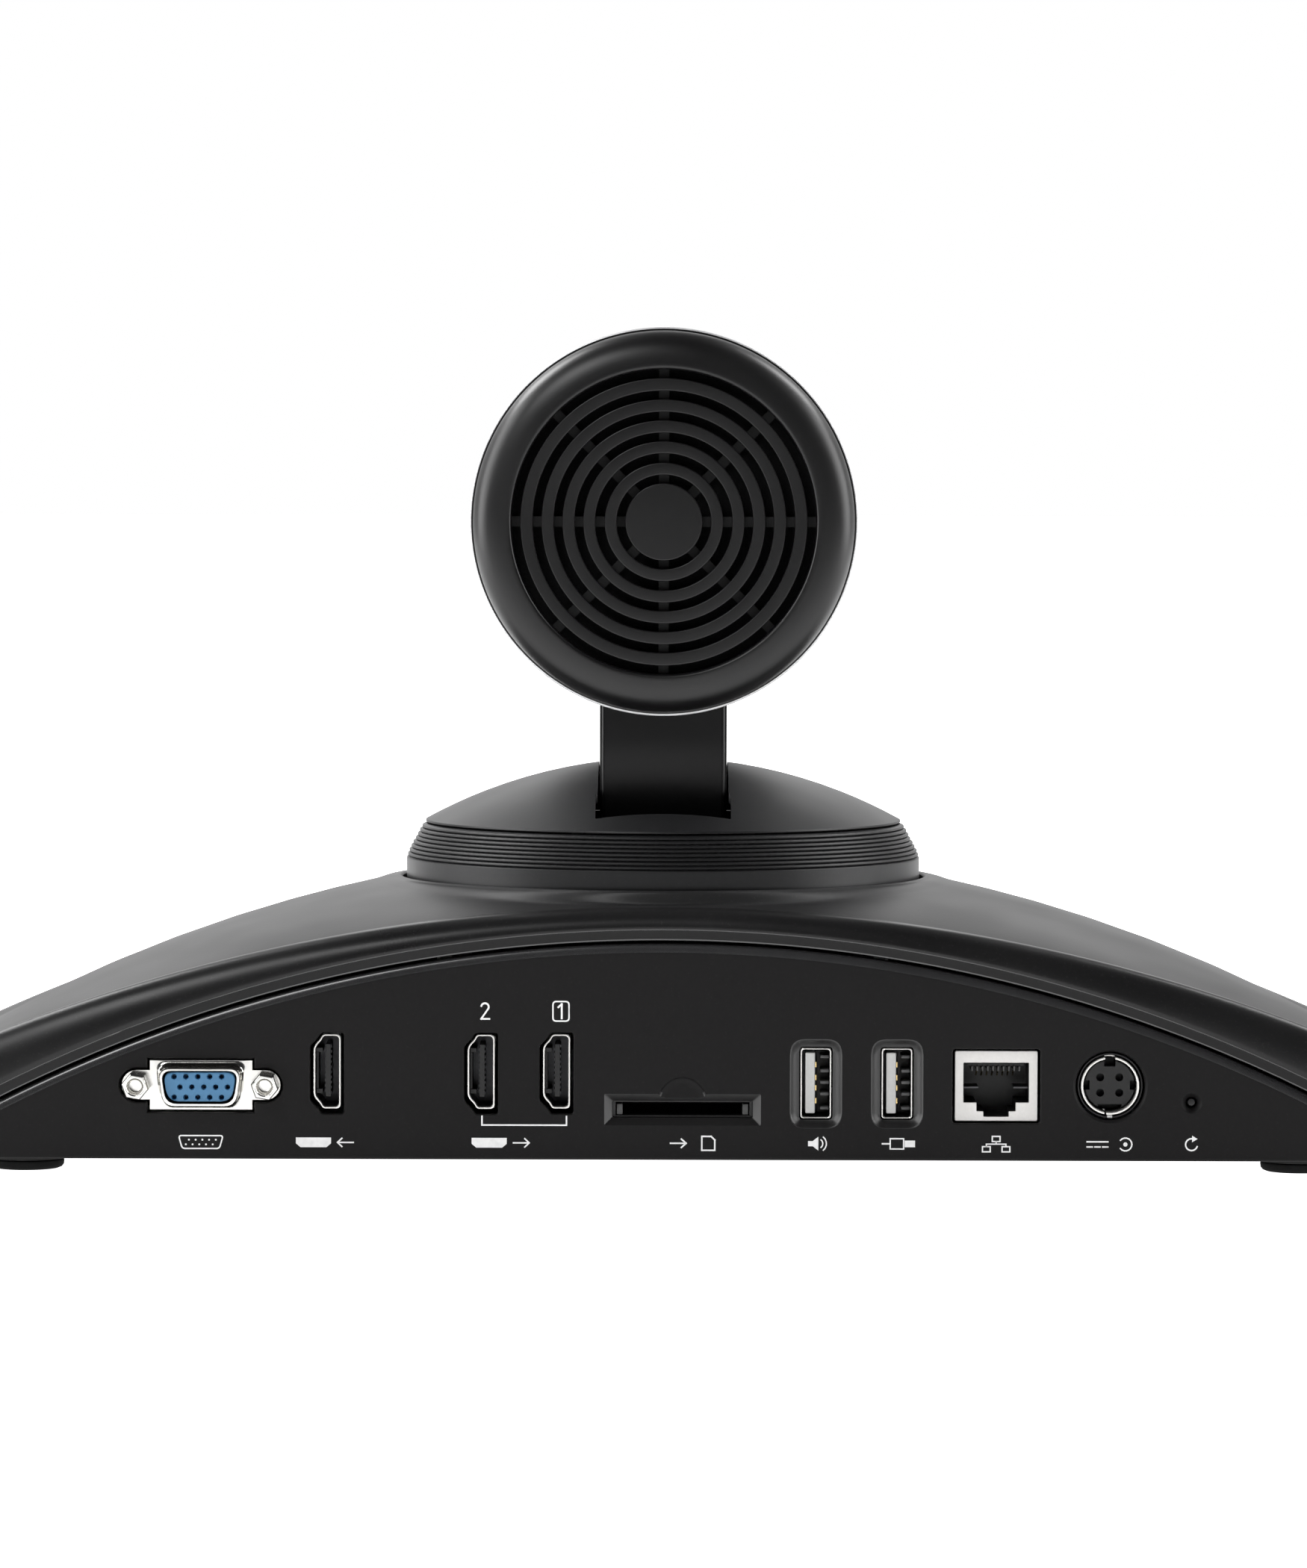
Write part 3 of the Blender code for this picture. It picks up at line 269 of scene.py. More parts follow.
M_SPOKE = mould("grille_spokes", (0.0075, 0.0074, 0.0078), 0.50, grain=1500, bump=0.1, spread=0.1, spec=0.35)
M_NECK = mould("neck_satin", (0.0045, 0.0044, 0.0047), 0.38, grain=1500, bump=0.18, spread=0.10, spec=0.22)
# sloped recess faces: the lighter base colour is a painted highlight, the higher gloss is a finish
M_BEVEL_HIGHLIGHT = mould("recess_bevel_painted_highlight", (0.0100, 0.0097, 0.0100), 0.34, grain=1500, bump=0.12, spread=0.08, spec=0.7)
# rounded edges: the lighter base colour is a painted highlight, the higher gloss is the edge's own finish
M_EDGE_HIGHLIGHT = mould("edge_painted_highlight", (0.022, 0.022, 0.023), 0.22, grain=1700, bump=0.03, spread=0.06, spec=0.9, rough_var=0.04)
M_VGA = metal("socket_nickel", (0.80, 0.79, 0.76), 0.16)
# darkened steel for parts deep inside sockets: painted shade
M_CAVITY_SHADE = metal("steel_painted_cavity_shade", (0.10, 0.10, 0.105), 0.40)
M_STEEL = metal("plain_steel", (0.42, 0.42, 0.43), 0.32)
M_TRIM = soften(metal("silver_trim", (0.80, 0.80, 0.81), 0.26), 0.18)
M_GOLD = metal("contact_gold", (0.75, 0.56, 0.25), 0.25)
M_BOARD = board_mat("green_board")
M_GLASS = glass_mat("coated_glass")
M_INK = ink_mat("white_print")


# ------------------------------------------------------------------ mesh helpers (design millimetres)
def place(axis, u, v, h):
    return (u, v, h) if axis == 'Z' else ((u, h, v) if axis == 'Y' else (h, u, v))


def loft(loops, ring=False):
    n, rows = len(loops[0]), len(loops)
    verts = [tuple(p) for loop in loops for p in loop]
    faces = []
    for r in range(rows if ring else rows - 1):
        s = (r + 1) % rows
        for i in range(n):
            j = (i + 1) % n
            faces.append((r * n + i, r * n + j, s * n + j, s * n + i))
    if not ring:
        faces.append(tuple(range(n))[::-1])
        faces.append(tuple(range((rows - 1) * n, rows * n)))
    return verts, faces


def extrude(poly, lo, hi, axis):
    return loft([[place(axis, u, v, lo) for u, v in poly], [place(axis, u, v, hi) for u, v in poly]])


def cup(outer, inner, back, front, floor, axis):
    return loft([[place(axis, u, v, back) for u, v in outer], [place(axis, u, v, front) for u, v in outer],
                 [place(axis, u, v, front) for u, v in inner], [place(axis, u, v, floor) for u, v in inner]])


def revolve(profile, segs, axis='Z', centre=(0, 0, 0), ring=True, phase=0.0):
    cx, cy, cz = centre
    loops = []
    for r, h in profile:
        loop = []
        for i in range(segs):
            a = phase + 2 * math.pi * i / segs
            p = place(axis, r * math.cos(a), r * math.sin(a), h)
            loop.append((p[0] + cx, p[1] + cy, p[2] + cz))
        loops.append(loop)
    return loft(loops, ring=ring)


def cyl(r, lo, hi, segs, axis='Z', centre=(0, 0, 0)):
    return revolve([(r, lo), (r, hi)], segs, axis, centre, ring=False)


def block(x0, x1, y0, y1, z0, z1):
    return extrude([(x0, y0), (x1, y0), (x1, y1), (x0, y1)], z0, z1, 'Z')


def merge(shapes):
    verts, faces = [], []
    for vs, fs in shapes:
        k = len(verts)
        verts += list(vs)
        faces += [tuple(i + k for i in f) for f in fs]
    return verts, faces


def rounded(points, r, n=5):
    out, m = [], len(points)
    for i in range(m):
        p, a, b = Vector(points[i]), Vector(points[i - 1]), Vector(points[(i + 1) % m])
        da, db = (a - p), (b - p)
        k = min(r, da.length * 0.49, db.length * 0.49)
        s, e = p + da.normalized() * k, p + db.normalized() * k
        for j in range(n + 1):
            t = j / n
            q = s * (1 - t) ** 2 + p * 2 * t * (1 - t) + e * t ** 2
            out.append((q.x, q.y))
    return out


def shift(poly, dx, dy):
    return [(u + dx, v + dy) for u, v in poly]


def rect(w, h):
    return [(-w / 2, -h / 2), (w / 2, -h / 2), (w / 2, h / 2), (-w / 2, h / 2)]


def offset(loop, d):
    """Move a closed loop (clockwise) inwards by d."""
    n, out = len(loop), []
    for i in range(n):
        a, p, b = Vector(loop[i - 1]), Vector(loop[i]), Vector(loop[(i + 1) % n])
        t1, t2 = (p - a).normalized(), (b - p).normalized()
        n1, n2 = Vector((t1.y, -t1.x)), Vector((t2.y, -t2.x))
        m = (n1 + n2).normalized()
        out.append(tuple(p + m * (d / max(0.5, m.dot(n1)))))
    return out


def grow(loop, d):
    """Offset a counter-clockwise x/z outline outwards by d (inwards if negative)."""
    return offset(loop[::-1], -d)[::-1]


def to_world(v):
    return Vector((v[0] * MM, (v[1] + PAN_Y) * MM, (v[2] + FOOT) * MM))


def raw(name, shape, mats=(), face_mats=None):
    verts, faces = shape
    mesh = bpy.data.meshes.new(name)
    mesh.from_pydata([to_world(v) for v in verts], [], faces)
    for m in mats:
        mesh.materials.append(m)
    if face_mats:
        for p, k in zip(mesh.polygons, face_mats):
            p.material_index = k
    bm = bmesh.new()
    bm.from_mesh(mesh)
    bmesh.ops.remove_doubles(bm, verts=bm.verts, dist=1e-7)
    bmesh.ops.recalc_face_normals(bm, faces=bm.faces)
    bm.to_mesh(mesh)
    bm.free()
    ob = bpy.data.objects.new(name, mesh)
    bpy.context.scene.collection.objects.link(ob)
    return ob


def boolean(ob, shape, op='DIFFERENCE', mat_from_cutter=False):
    cutter = raw("cutter", shape, mats=[ob.data.materials[0]] if ob.data.materials else ())
    mod = ob.modifiers.new("b", 'BOOLEAN')
    mod.operation, mod.solver, mod.object = op, 'EXACT', cutter
    bake(ob)
    bpy.data.objects.remove(cutter, do_unlink=True)


def bake(ob):
    dg = bpy.context.evaluated_depsgraph_get()
    dg.update()
    new = bpy.data.meshes.new_from_object(ob.evaluated_get(dg))
    ob.modifiers.clear()
    old = ob.data
    ob.data = new
    bpy.data.meshes.remove(old)


def finish_piece(ob, body, nodes=(), slot=None, smooth=30, bevel=0.0, seg=3, limit=35, weighted=True):
    if bevel > 0:
        mod = ob.modifiers.new("edge", 'BEVEL')
        mod.width = bevel * MM
        mod.segments = seg
        mod.limit_method = 'ANGLE'
        mod.angle_limit = math.radians(limit)
        mod.use_clamp_overlap = True
        mod.harden_normals = False
        bake(ob)
    ob.data.shade_smooth()
    ob.data.set_sharp_from_angle(angle=math.radians(smooth))
    if weighted:
        mod = ob.modifiers.new("weighted", 'WEIGHTED_NORMAL')
        mod.keep_sharp = True
        mod.weight = 80
    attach(ob, body)
    if nodes:
        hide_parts(*nodes)
    return ob


def piece(name, shape, mat, body, nodes=(), slot=None, **kw):
    mats = mat if isinstance(mat, (list, tuple)) else [mat]
    ob = raw(name, shape, mats=mats)
    return finish_piece(ob, body, nodes, slot, **kw)


def paint(node, mat):
    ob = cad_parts[node]
    if ob.data.materials:
        for i in range(len(ob.data.materials)):
            ob.data.materials[i] = mat
    else:
        ob.data.materials.append(mat)


# ------------------------------------------------------------------ base curves
def arc_z(radius, centre, x):
    return centre + math.sqrt(max(radius * radius - x * x, 0.0))


def lip_z(x, r=R_LIP):
    return max(arc_z(r, ARC_C, x), 2.4 + (r - R_LIP))


def gap_z(x):
    return arc_z(R_GAP, ARC_C, x) if abs(x) < PANEL_HALF + 0.6 else 0.0


def crease_z(x):
    return arc_z(CREASE_R, CREASE_C, x)


def front_edge(x):
    return 30.0 - (30.0 - FRONT_Y) * max(0.0, 1 - (abs(x) / HALF_L) ** 1.7) ** (1 / 1.7)


def crease_span(x):
    ax = min(abs(x), 153.9)
    rear = CREASE_REAR_Y if ax < 128 else 33 + 22 * math.sqrt(max(0.0, 1 - ((ax - 128) / 26.0) ** 2))
    front = 33.0 - (33.0 - CREASE_FRONT_Y) * max(0.0, 1 - (ax / 154.0) ** 1.7) ** (1 / 1.7)
    return rear, front


def top_z(x, y):
    rear, front = crease_span(x)
    mid = 33.0 * min(1.0, (x / 154.0) ** 2)
    w = (y - mid) / (rear - mid + 1e-6) if y > mid else (mid - y) / (mid - front + 1e-6)
    lift = max(0.0, arc_z(RIDGE_R, RIDGE_C, x) - crease_z(x))
    return crease_z(x) + lift * (1 - min(1.0, abs(w)) ** 2)


def half_outlines(n_rear=64, n_tip=18, n_front=60):
    edge, crease = [], []
    a0 = math.atan2(CREASE_REAR_Y, 128.0)
    for i in range(n_rear + 1):
        a = math.pi / 2 + (a0 - math.pi / 2) * i / n_rear
        x = CREASE_REAR_Y / math.tan(a) if i else 0.0
        crease.append((x, CREASE_REAR_Y))
        edge.append((x * 138.0 / 128.0, LIP_Y))
    for i in range(n_tip + 1):
        a = math.radians(88.5 - 88.5 * i / n_tip)
        crease.append((128 + 26 * math.cos(a), 33 + 22 * math.sin(a)))
        edge.append((138 + 34 * math.cos(a), 30 + 30.6 * math.sin(a)))
    for i in range(1, n_front + 1):
        b = math.pi / 2 * i / n_front
        c, s = max(0.0, math.cos(b)) ** (2 / 1.7), math.sin(b) ** (2 / 1.7)
        if i == n_front:
            c = 0.0
        crease.append((154.0 * c, 33 - (33 - CREASE_FRONT_Y) * s))
        edge.append((HALF_L * c, 30 - (30 - FRONT_Y) * s))
    return edge, crease


def mirror_half(half):
    return half + [(-x, y) for x, y in half[-2:0:-1]]


EDGE_H, CREASE_H = half_outlines()
NH = len(EDGE_H)
PHI_H = []
for i in range(NH):
    polar = math.atan2(CREASE_H[i][1], CREASE_H[i][0])
    even = math.pi / 2 - math.pi * i / (NH - 1)
    PHI_H.append(0.6 * polar + 0.4 * even)
EDGE, CREASE = mirror_half(EDGE_H), mirror_half(CREASE_H)
PHI = PHI_H + [math.pi - p for p in PHI_H[-2:0:-1]]


def blend_r(p):
    return 58.5 - 4.3 * max(0.0, math.sin(p)) ** 8


def smooth01(t):
    t = min(1.0, max(0.0, t))
    return t * t * (3 - 2 * t)


def cover_rows():
    """Rows of the cover from its lower outside edge over the top and back to the lower inside edge."""
    rows, tags = [], []

    def add(row, tag):
        rows.append(row)
        tags.append(tag)

    inset = offset(EDGE, 0.35)
    # lower edge with a small radius, lip set back slightly under the band
    add([(x, y, gap_z(ex) + 0.02) for (x, y), (ex, ey) in zip(offset(EDGE, 0.55), EDGE)], 0)
    add([(x, y, gap_z(ex) + 0.10) for (x, y), (ex, ey) in zip(offset(EDGE, 0.40), EDGE)], 0)
    add([(x, y, gap_z(ex) + 0.35) for (x, y), (ex, ey) in zip(inset, EDGE)], 0)
    add([(x, y, lip_z(ex, R_LIP - 0.55)) for (x, y), (ex, ey) in zip(inset, EDGE)], 0)
    add([(x, y, lip_z(ex, R_LIP - 0.35)) for (x, y), (ex, ey) in zip(offset(EDGE, 0.30), EDGE)], 0)
    # rounded step edge; its faces take the lighter edge colour below, a painted highlight
    add([(x, y, lip_z(ex, R_LIP - 0.25)) for (x, y), (ex, ey) in zip(offset(EDGE, 0.12), EDGE)], 1)
    add([(x, y, lip_z(ex, R_LIP - 0.08)) for (x, y), (ex, ey) in zip(offset(EDGE, 0.02), EDGE)], 1)
    # band
    steps = 14
    for k in range(1, steps):
        a = math.radians(90 - 84.0 * k / steps)
        row = []
        for (ex, ey), (cx, cy) in zip(EDGE, CREASE):
            z0, z1 = lip_z(ex), crease_z(cx)
            s, c = math.sin(a) ** 0.9, math.cos(a) ** 1.0
            row.append((cx + (ex - cx) * s, cy + (ey - cy) * s, z0 + (z1 - z0) * c))
        add(row, 1)
    add([(x * 1.0, y, crease_z(x)) for x, y in CREASE], 2)
    for s in (0.02, 0.06, 0.12, 0.2, 0.3, 0.42, 0.55, 0.68, 0.8, 0.9, 1.0):
        row = []
        for (cx, cy), p in zip(CREASE, PHI):
            bx, by = blend_r(p) * math.cos(p), blend_r(p) * math.sin(p)
            x, y = cx + (bx - cx) * s, cy + (by - cy) * s
            row.append((x, y, top_z(x, y)))
        add(row, 2)
    # raised rim of the turret hole, blending out of the top
    for t in (0.15, 0.3, 0.45, 0.6, 0.75, 0.88, 1.0):
        row = []
        for p in PHI:
            r = blend_r(p) + (53.7 - blend_r(p)) * t
            x, y = r * math.cos(p), r * math.sin(p)
            z0 = top_z(x, y)
            row.append((x, y, z0 + (RIM_Z - 0.25 - z0) * smooth01(t * 0.9) ** 1.0))
        add(row, 2)
    for r, z in ((53.4, RIM_Z - 0.08), (53.1, RIM_Z), (52.8, RIM_Z - 0.02), (52.5, RIM_Z - 0.15), (HOLE_R, RIM_Z - 0.4),
                 (HOLE_R, 48.2), (53.2, 47.3)):
        add([(r * math.cos(p), r * math.sin(p), z) for p in PHI], 2)
    crease_in, edge_in = offset(CREASE, 0.9), offset(EDGE, 2.2)
    for s in (0.66, 0.33):
        row = []
        for (cx, cy), p in zip(crease_in, PHI):
            bx, by = 54.0 * math.cos(p), min(54.0 * math.sin(p), 53.8)
            x, y = cx + (bx - cx) * s, cy + (by - cy) * s
            row.append((x, y, min(47.2, top_z(x, y) - 2.4)))
        add(row, 2)
    add([(x, y, crease_z(x) - 2.3) for x, y in crease_in], 2)
    row = []
    for (ex, ey), (cx, cy) in zip(edge_in, crease_in):
        z0, z1 = gap_z(ex) + 2.4, crease_z(cx) - 2.3
        row.append((cx + (ex - cx) * 0.72, cy + (ey - cy) * 0.72, z0 + (z1 - z0) * 0.72))
    add(row, 2)
    add([(x, y, gap_z(ex) + 2.3) for (x, y), (ex, ey) in zip(edge_in, EDGE)], 0)
    add([(x, y, gap_z(ex) + 0.02) for (x, y), (ex, ey) in zip(edge_in, EDGE)], 0)
    return rows, tags


rows, tags = cover_rows()
n = len(rows[0])
shape = loft(rows, ring=True)
face_mats = []
for r in range(len(rows)):
    face_mats += [tags[(r + 1) % len(rows)] if tags[r] != tags[(r + 1) % len(rows)] else tags[r]] * n
# the lower edge rows and the step edge rows get the lighter edge colour: painted highlight
for r in (0, 1, 4, 5):
    face_mats[r * n:(r + 1) * n] = [3] * n
cover = raw("base_top_cover_shell", shape, mats=[M_LIP, M_BAND, M_TOP, M_EDGE_HIGHLIGHT], face_mats=face_mats)
# the painted highlight stays on the rear half; front faces go back to the lip colour
for p in cover.data.polygons:
    if p.material_index == 3 and p.center.y < 0.02:
        p.material_index = 0
cover.data.shade_smooth()
cover.data.set_sharp_from_angle(angle=math.radians(38))
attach(cover, "base")
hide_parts("base_top_cover")

# ------------------------------------------------------------------ rear panel
def arc_region(r, zb, half, count=120):
    """Outline under the arc of radius r, counter-clockwise in x/z, starting at the lower left."""
    pts = [(-half, zb), (half, zb)]
    for i in range(count + 1):
        x = half * (1 - 2 * i / count)
        pts.append((x, arc_z(r, ARC_C, x)))
    return pts


levels = [(58.0, R_PANEL, 0.05, PANEL_HALF), (58.9, R_PANEL, 0.05, PANEL_HALF), (59.3, R_PANEL - 0.10, 0.08, PANEL_HALF - 0.05),
          (59.62, R_PANEL - 0.38, 0.2, PANEL_HALF - 0.15), (59.8, R_PANEL - 0.75, 0.3, PANEL_HALF - 0.3),
          (59.93, R_PANEL - 1.25, 0.45, PANEL_HALF - 0.45), (59.985, R_PANEL - 1.8, 0.6, PANEL_HALF - 0.6), (60.0, R_PANEL - 2.4, 0.7, PANEL_HALF - 0.8)]
panel = raw("rear_panel_plate", loft([[(u, y, v) for u, v in arc_region(r, zb, h)] for y, r, zb, h in levels]), mats=[M_PANEL])


def hdmi_outline(g=0.0, r=0.8):
    pts = [(-2.65 - g, -7.25 - g), (0.85 + 0.4 * g, -7.25 - g), (1.30 + 0.6 * g, -6.35 - 0.9 * g), (2.65 + g, -4.95 - 0.5 * g),
           (2.65 + g, 4.95 + 0.5 * g), (1.30 + 0.6 * g, 6.35 + 0.9 * g), (0.85 + 0.4 * g, 7.25 + g), (-2.65 - g, 7.25 + g)]
    return rounded(pts, r, 4)


def flange(gx=0.0, gy=0.0, r=0.35):
    pts = [(-9.9 - gx, -4.75 - gy), (9.9 + gx, -4.75 - gy), (9.9 + gx, -2.85 - gy)]
    c, rr = 12.5, 2.85 + gx
    for i in range(13):
        a = math.radians(-90 + 180 * i / 12)
        pts.append((c + rr * math.cos(a), rr * math.sin(a)))
    pts += [(9.9 + gx, 2.85 + gy), (9.9 + gx, 4.75 + gy), (-9.9 - gx, 4.75 + gy), (-9.9 - gx, 2.85 + gy)]
    for i in range(13):
        a = math.radians(90 + 180 * i / 12)
        pts.append((-c + rr * math.cos(a), rr * math.sin(a)))
    pts += [(-9.9 - gx, -2.85 - gy)]
    return pts


def levels_cut(outlines, c):
    """Cutter from outlines given as (y, outline), front to back."""
    return loft([[(u + c[0], y, v + c[1]) for u, v in poly] for y, poly in outlines])


def edged(fn, depth_y=57.0, lead=0.25):
    """Straight hole whose mouth has a small rounded edge; fn(g) gives the outline grown by g."""
    return [(60.4, fn(lead)), (60.0, fn(lead)), (59.9, fn(lead * 0.45)), (59.75, fn(lead * 0.1)), (59.5, fn(0.0)), (depth_y, fn(0.0))]


cuts = [levels_cut(edged(lambda g: flange(0.45 + g, 0.45 + g)), VGA)]
for c in (HDMI_IN, HDMI_OUT2, HDMI_OUT1):
    cuts.append(levels_cut(edged(lambda g: hdmi_outline(0.62 + g, 0.6), lead=0.2), (c[0], c[1] - 0.3)))


def sd_rect(w, h):
    return rounded(rect(w, h), 0.25, 2)


cuts.append(levels_cut([(60.4, sd_rect(30.3, 6.1)), (60.0, sd_rect(30.3, 6.1)), (58.75, sd_rect(27.3, 3.3)), (58.6, sd_rect(27.2, 3.2)),
                        (57.0, sd_rect(27.2, 3.2))], SD))


def usb_rect(w, h, r):
    return rounded(rect(w, h), r, 6)


for c in (USB1, USB2):
    cuts.append(levels_cut([(60.4, usb_rect(10.15, 17.4, 3.0)), (60.0, usb_rect(10.1, 17.35, 3.0)), (59.9, usb_rect(9.8, 17.0, 2.9)),
                            (59.6, usb_rect(9.3, 16.5, 2.7)), (59.1, usb_rect(8.3, 15.6, 2.2)), (58.75, usb_rect(7.2, 14.8, 1.6)),
                            (58.6, usb_rect(6.5, 14.2, 0.9)), (57.0, usb_rect(6.5, 14.2, 0.9))], c))
cuts.append(levels_cut(edged(lambda g: rounded(rect(17.0 + 2 * g, 14.4 + 2 * g), 0.7, 3)), LAN))
cuts.append(revolve([(7.25, 60.4), (7.2, 60.0), (7.0, 59.85), (6.75, 59.6), (6.7, 59.4), (6.7, 57.0)], 72, 'Y', (DC[0], 0, DC[1]), ring=False))
cuts.append(revolve([(2.25, 60.4), (2.15, 60.0), (1.95, 59.9), (1.2, 59.1), (1.1, 58.9), (1.1, 57.0)], 48, 'Y', (RESET[0], 0, RESET[1]), ring=False))
boolean(panel, merge(cuts))
# shallow finger scoop over the card slot
scoop = []
for d, y in ((0.0, 60.4), (0.0, 60.0), (0.12, 59.75), (0.5, 59.5), (1.6, 59.3)):
    loop = []
    for i in range(33):
        a = math.pi * i / 32
        loop.append((SD[0] + (4.9 - d) * math.cos(a), y, SD[1] + 1.0 + (5.35 - d) * math.sin(a)))
    scoop.append(loop)
boolean(panel, loft(scoop))
# faces of the rounded bead along the top arc get the lighter edge colour: painted highlight
panel.data.materials.append(M_EDGE_HIGHLIGHT)
for p in panel.data.polygons:
    x, y, z = p.center.x / MM, p.center.y / MM - PAN_Y, p.center.z / MM - FOOT
    if 59.25 < y < 59.97 and math.hypot(x, z - ARC_C) > R_PANEL - 2.0:
        p.material_index = 1
# sloped faces of the card and socket recesses get the lighter bevel colour: painted highlight
panel.data.materials.append(M_BEVEL_HIGHLIGHT)
for p in panel.data.polygons:
    x, y, z = p.center.x / MM, p.center.y / MM - PAN_Y, p.center.z / MM - FOOT
    in_usb = any(abs(x - c[0]) < 5.4 and abs(z - c[1]) < 9.2 for c in (USB1, USB2))
    in_sd = abs(x - SD[0]) < 15.4 and abs(z - SD[1]) < 3.3
    if 58.55 < y < 59.97 and (in_usb or in_sd) and p.normal.y < 0.97:
        p.material_index = 2
finish_piece(panel, "base", ["rear_panel"], "panel_plastic", smooth=32)

# ------------------------------------------------------------------ front fascia, window and light
def strip(x0, x1, n, ins_out, ins_in, z_lo, z_hi):
    xs = [x0 + (x1 - x0) * i / n for i in range(n + 1)]
    outer, inner = [], []
    for x in xs:
        t = Vector((0.1, front_edge(x + 0.05) - front_edge(x - 0.05))).normalized()
        nrm = Vector((t.y, -t.x))
        p = Vector((x, front_edge(x)))
        outer.append(p - nrm * ins_out)
        inner.append(p - nrm * ins_in)
    k, top = 2 * len(xs), [z_hi(x) for x in xs]
    pts = outer + inner[::-1]
    tops = top + top[::-1]
    verts = [(p.x, p.y, z_lo) for p in pts] + [(p.x, p.y, h) for p, h in zip(pts, tops)]
    m = len(xs)
    faces = []
    for i in range(m - 1):
        o0, o1, i0, i1 = i, i + 1, k - 1 - i, k - 2 - i
        faces += [(o0, o1, i1, i0), (k + o0, k + i0, k + i1, k + o1), (o0, k + o0, k + o1, o1), (i0, i1, k + i1, k + i0)]
    faces += [(0, k - 1, 2 * k - 1, k), (m - 1, k + m - 1, k + m, m)]
    return verts, faces


def window_poly(w, h, r):
    return rounded(rect(w, h), r, 6)


fascia = raw("front_fascia_panel", strip(-PANEL_HALF, PANEL_HALF, 140, 0.5, 2.5, 0.05, lambda x: arc_z(R_PANEL, ARC_C, x)), mats=[M_GLOSS])
boolean(fascia, merge([extrude(shift(window_poly(28.0, 12.0, 3.0), 0, 17.0), -90, -78, 'Y'), cyl(1.6, -90, -76, 32, 'Y', (24.0, 0, 17.0))]))
finish_piece(fascia, "base", ["front_fascia"], "gloss_black", smooth=30, bevel=0.3, seg=2, limit=40)
window = raw("ir_window_pane", strip(-13.7, 13.7, 24, 0.6, 2.4, 11.3, lambda x: 22.7), mats=[M_IR])
corner = [extrude(shift(window_poly(27.4, 11.4, 2.7), 0, 17.0), -90, -78, 'Y')]
boolean(window, merge(corner), 'INTERSECT')
finish_piece(window, "base", ["ir_window"], "ir_plastic", smooth=30)
piece("status_light_pipe", revolve([(0.3, -82.6), (0.9, -82.5), (1.3, -82.1), (1.3, -79.5), (0.3, -79.5)], 32, 'Y', (24.0, 0, 17.0), ring=False), M_LED,
      "base", ["status_led"], "light_pipe", smooth=40)

# ------------------------------------------------------------------ tray, feet, screws
M_TRAY = mould("tray_matte", (0.012, 0.012, 0.012), 0.6, grain=1200, bump=0.3, spread=0.12)
paint("base_bottom_tray", M_TRAY)
for node in ("foot_rear_left", "foot_rear_right", "foot_front_left", "foot_front_right"):
    lo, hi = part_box(node)
    cx, cy = (lo.x + hi.x) / 2 / MM, (lo.y + hi.y) / 2 / MM - PAN_Y
    piece(node + "_pad", revolve([(0.6, -FOOT), (5.6, -FOOT), (6.3, -FOOT + 0.05), (6.9, -FOOT + 0.3), (7.25, -FOOT + 0.75), (7.35, -1.3),
                                  (7.2, -1.05), (0.6, -1.0)], 56, 'Z', (cx, cy, 0), ring=False), M_RUBBER, "base", [node], "foot_rubber", smooth=50)
for i in (1, 2, 3, 4):
    node = "tray_screw_%d" % i
    lo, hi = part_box(node)
    cx, cy = (lo.x + hi.x) / 2 / MM, (lo.y + hi.y) / 2 / MM - PAN_Y
    s = raw(node + "_head", revolve([(0.3, 0.1), (2.3, 0.1), (2.6, 0.3), (2.6, 0.75), (1.4, 0.75), (1.4, 10.0), (0.3, 10.0)], 32, 'Z', (cx, cy, 0), ring=False),
            mats=[M_STEEL])
    boolean(s, merge([block(cx - 1.5, cx + 1.5, cy - 0.25, cy + 0.25, -0.5, 0.45)]))
    boolean(s, merge([block(cx - 0.25, cx + 0.25, cy - 1.5, cy + 1.5, -0.5, 0.45)]))
    finish_piece(s, "base", [node], "steel", smooth=40)

# ------------------------------------------------------------------ video socket (15 pins)
def vga_d(g=0.0, r=2.2):
    return rounded([(-7.0 - g, -3.7 - g), (7.0 + g, -3.7 - g), (8.0 + g, 3.7 + g), (-8.0 - g, 3.7 + g)], r, 6)


fl = raw("vga_metal_shell", extrude(shift(flange(), *VGA), 58.2, 59.0, 'Y'), mats=[M_VGA])
tube_loops = [(58.4, 0.95), (59.0, 0.95), (59.15, 0.55), (59.5, 0.2), (60.0, 0.02), (60.6, 0.0), (64.2, 0.0), (64.36, -0.08), (64.4, -0.2)]
boolean(fl, levels_cut([(y, vga_d(g)) for y, g in tube_loops], VGA), 'UNION')
boolean(fl, merge([levels_cut([(y, vga_d(-0.48)) for y in (57.0, 66.0)], VGA),
                   cyl(1.5, 57.0, 66.0, 32, 'Y', (VGA[0] - 12.5, 0, VGA[1])), cyl(1.5, 57.0, 66.0, 32, 'Y', (VGA[0] + 12.5, 0, VGA[1]))]))
finish_piece(fl, "base", ["vga_shell"], "bright_metal", smooth=35)
ins = raw("vga_blue_insert", levels_cut([(47.0, vga_d(-0.85)), (63.3, vga_d(-0.85)), (63.52, vga_d(-0.92)), (63.6, vga_d(-1.1))], VGA), mats=[M_BLUE])
holes, cones = [], []
for dz, dx in ((2.0, 0.35), (0.0, -0.8), (-2.0, 0.35)):
    for i in range(5):
        cx, cz = VGA[0] + dx + 2.3 * (i - 2), VGA[1] + dz
        holes.append(revolve([(0.62, 64.0), (0.60, 63.6), (0.46, 63.35), (0.44, 60.5)], 20, 'Y', (cx, 0, cz), ring=False))
boolean(ins, merge(holes))
finish_piece(ins, "base", ["vga_insert"], "blue_plastic", smooth=35)
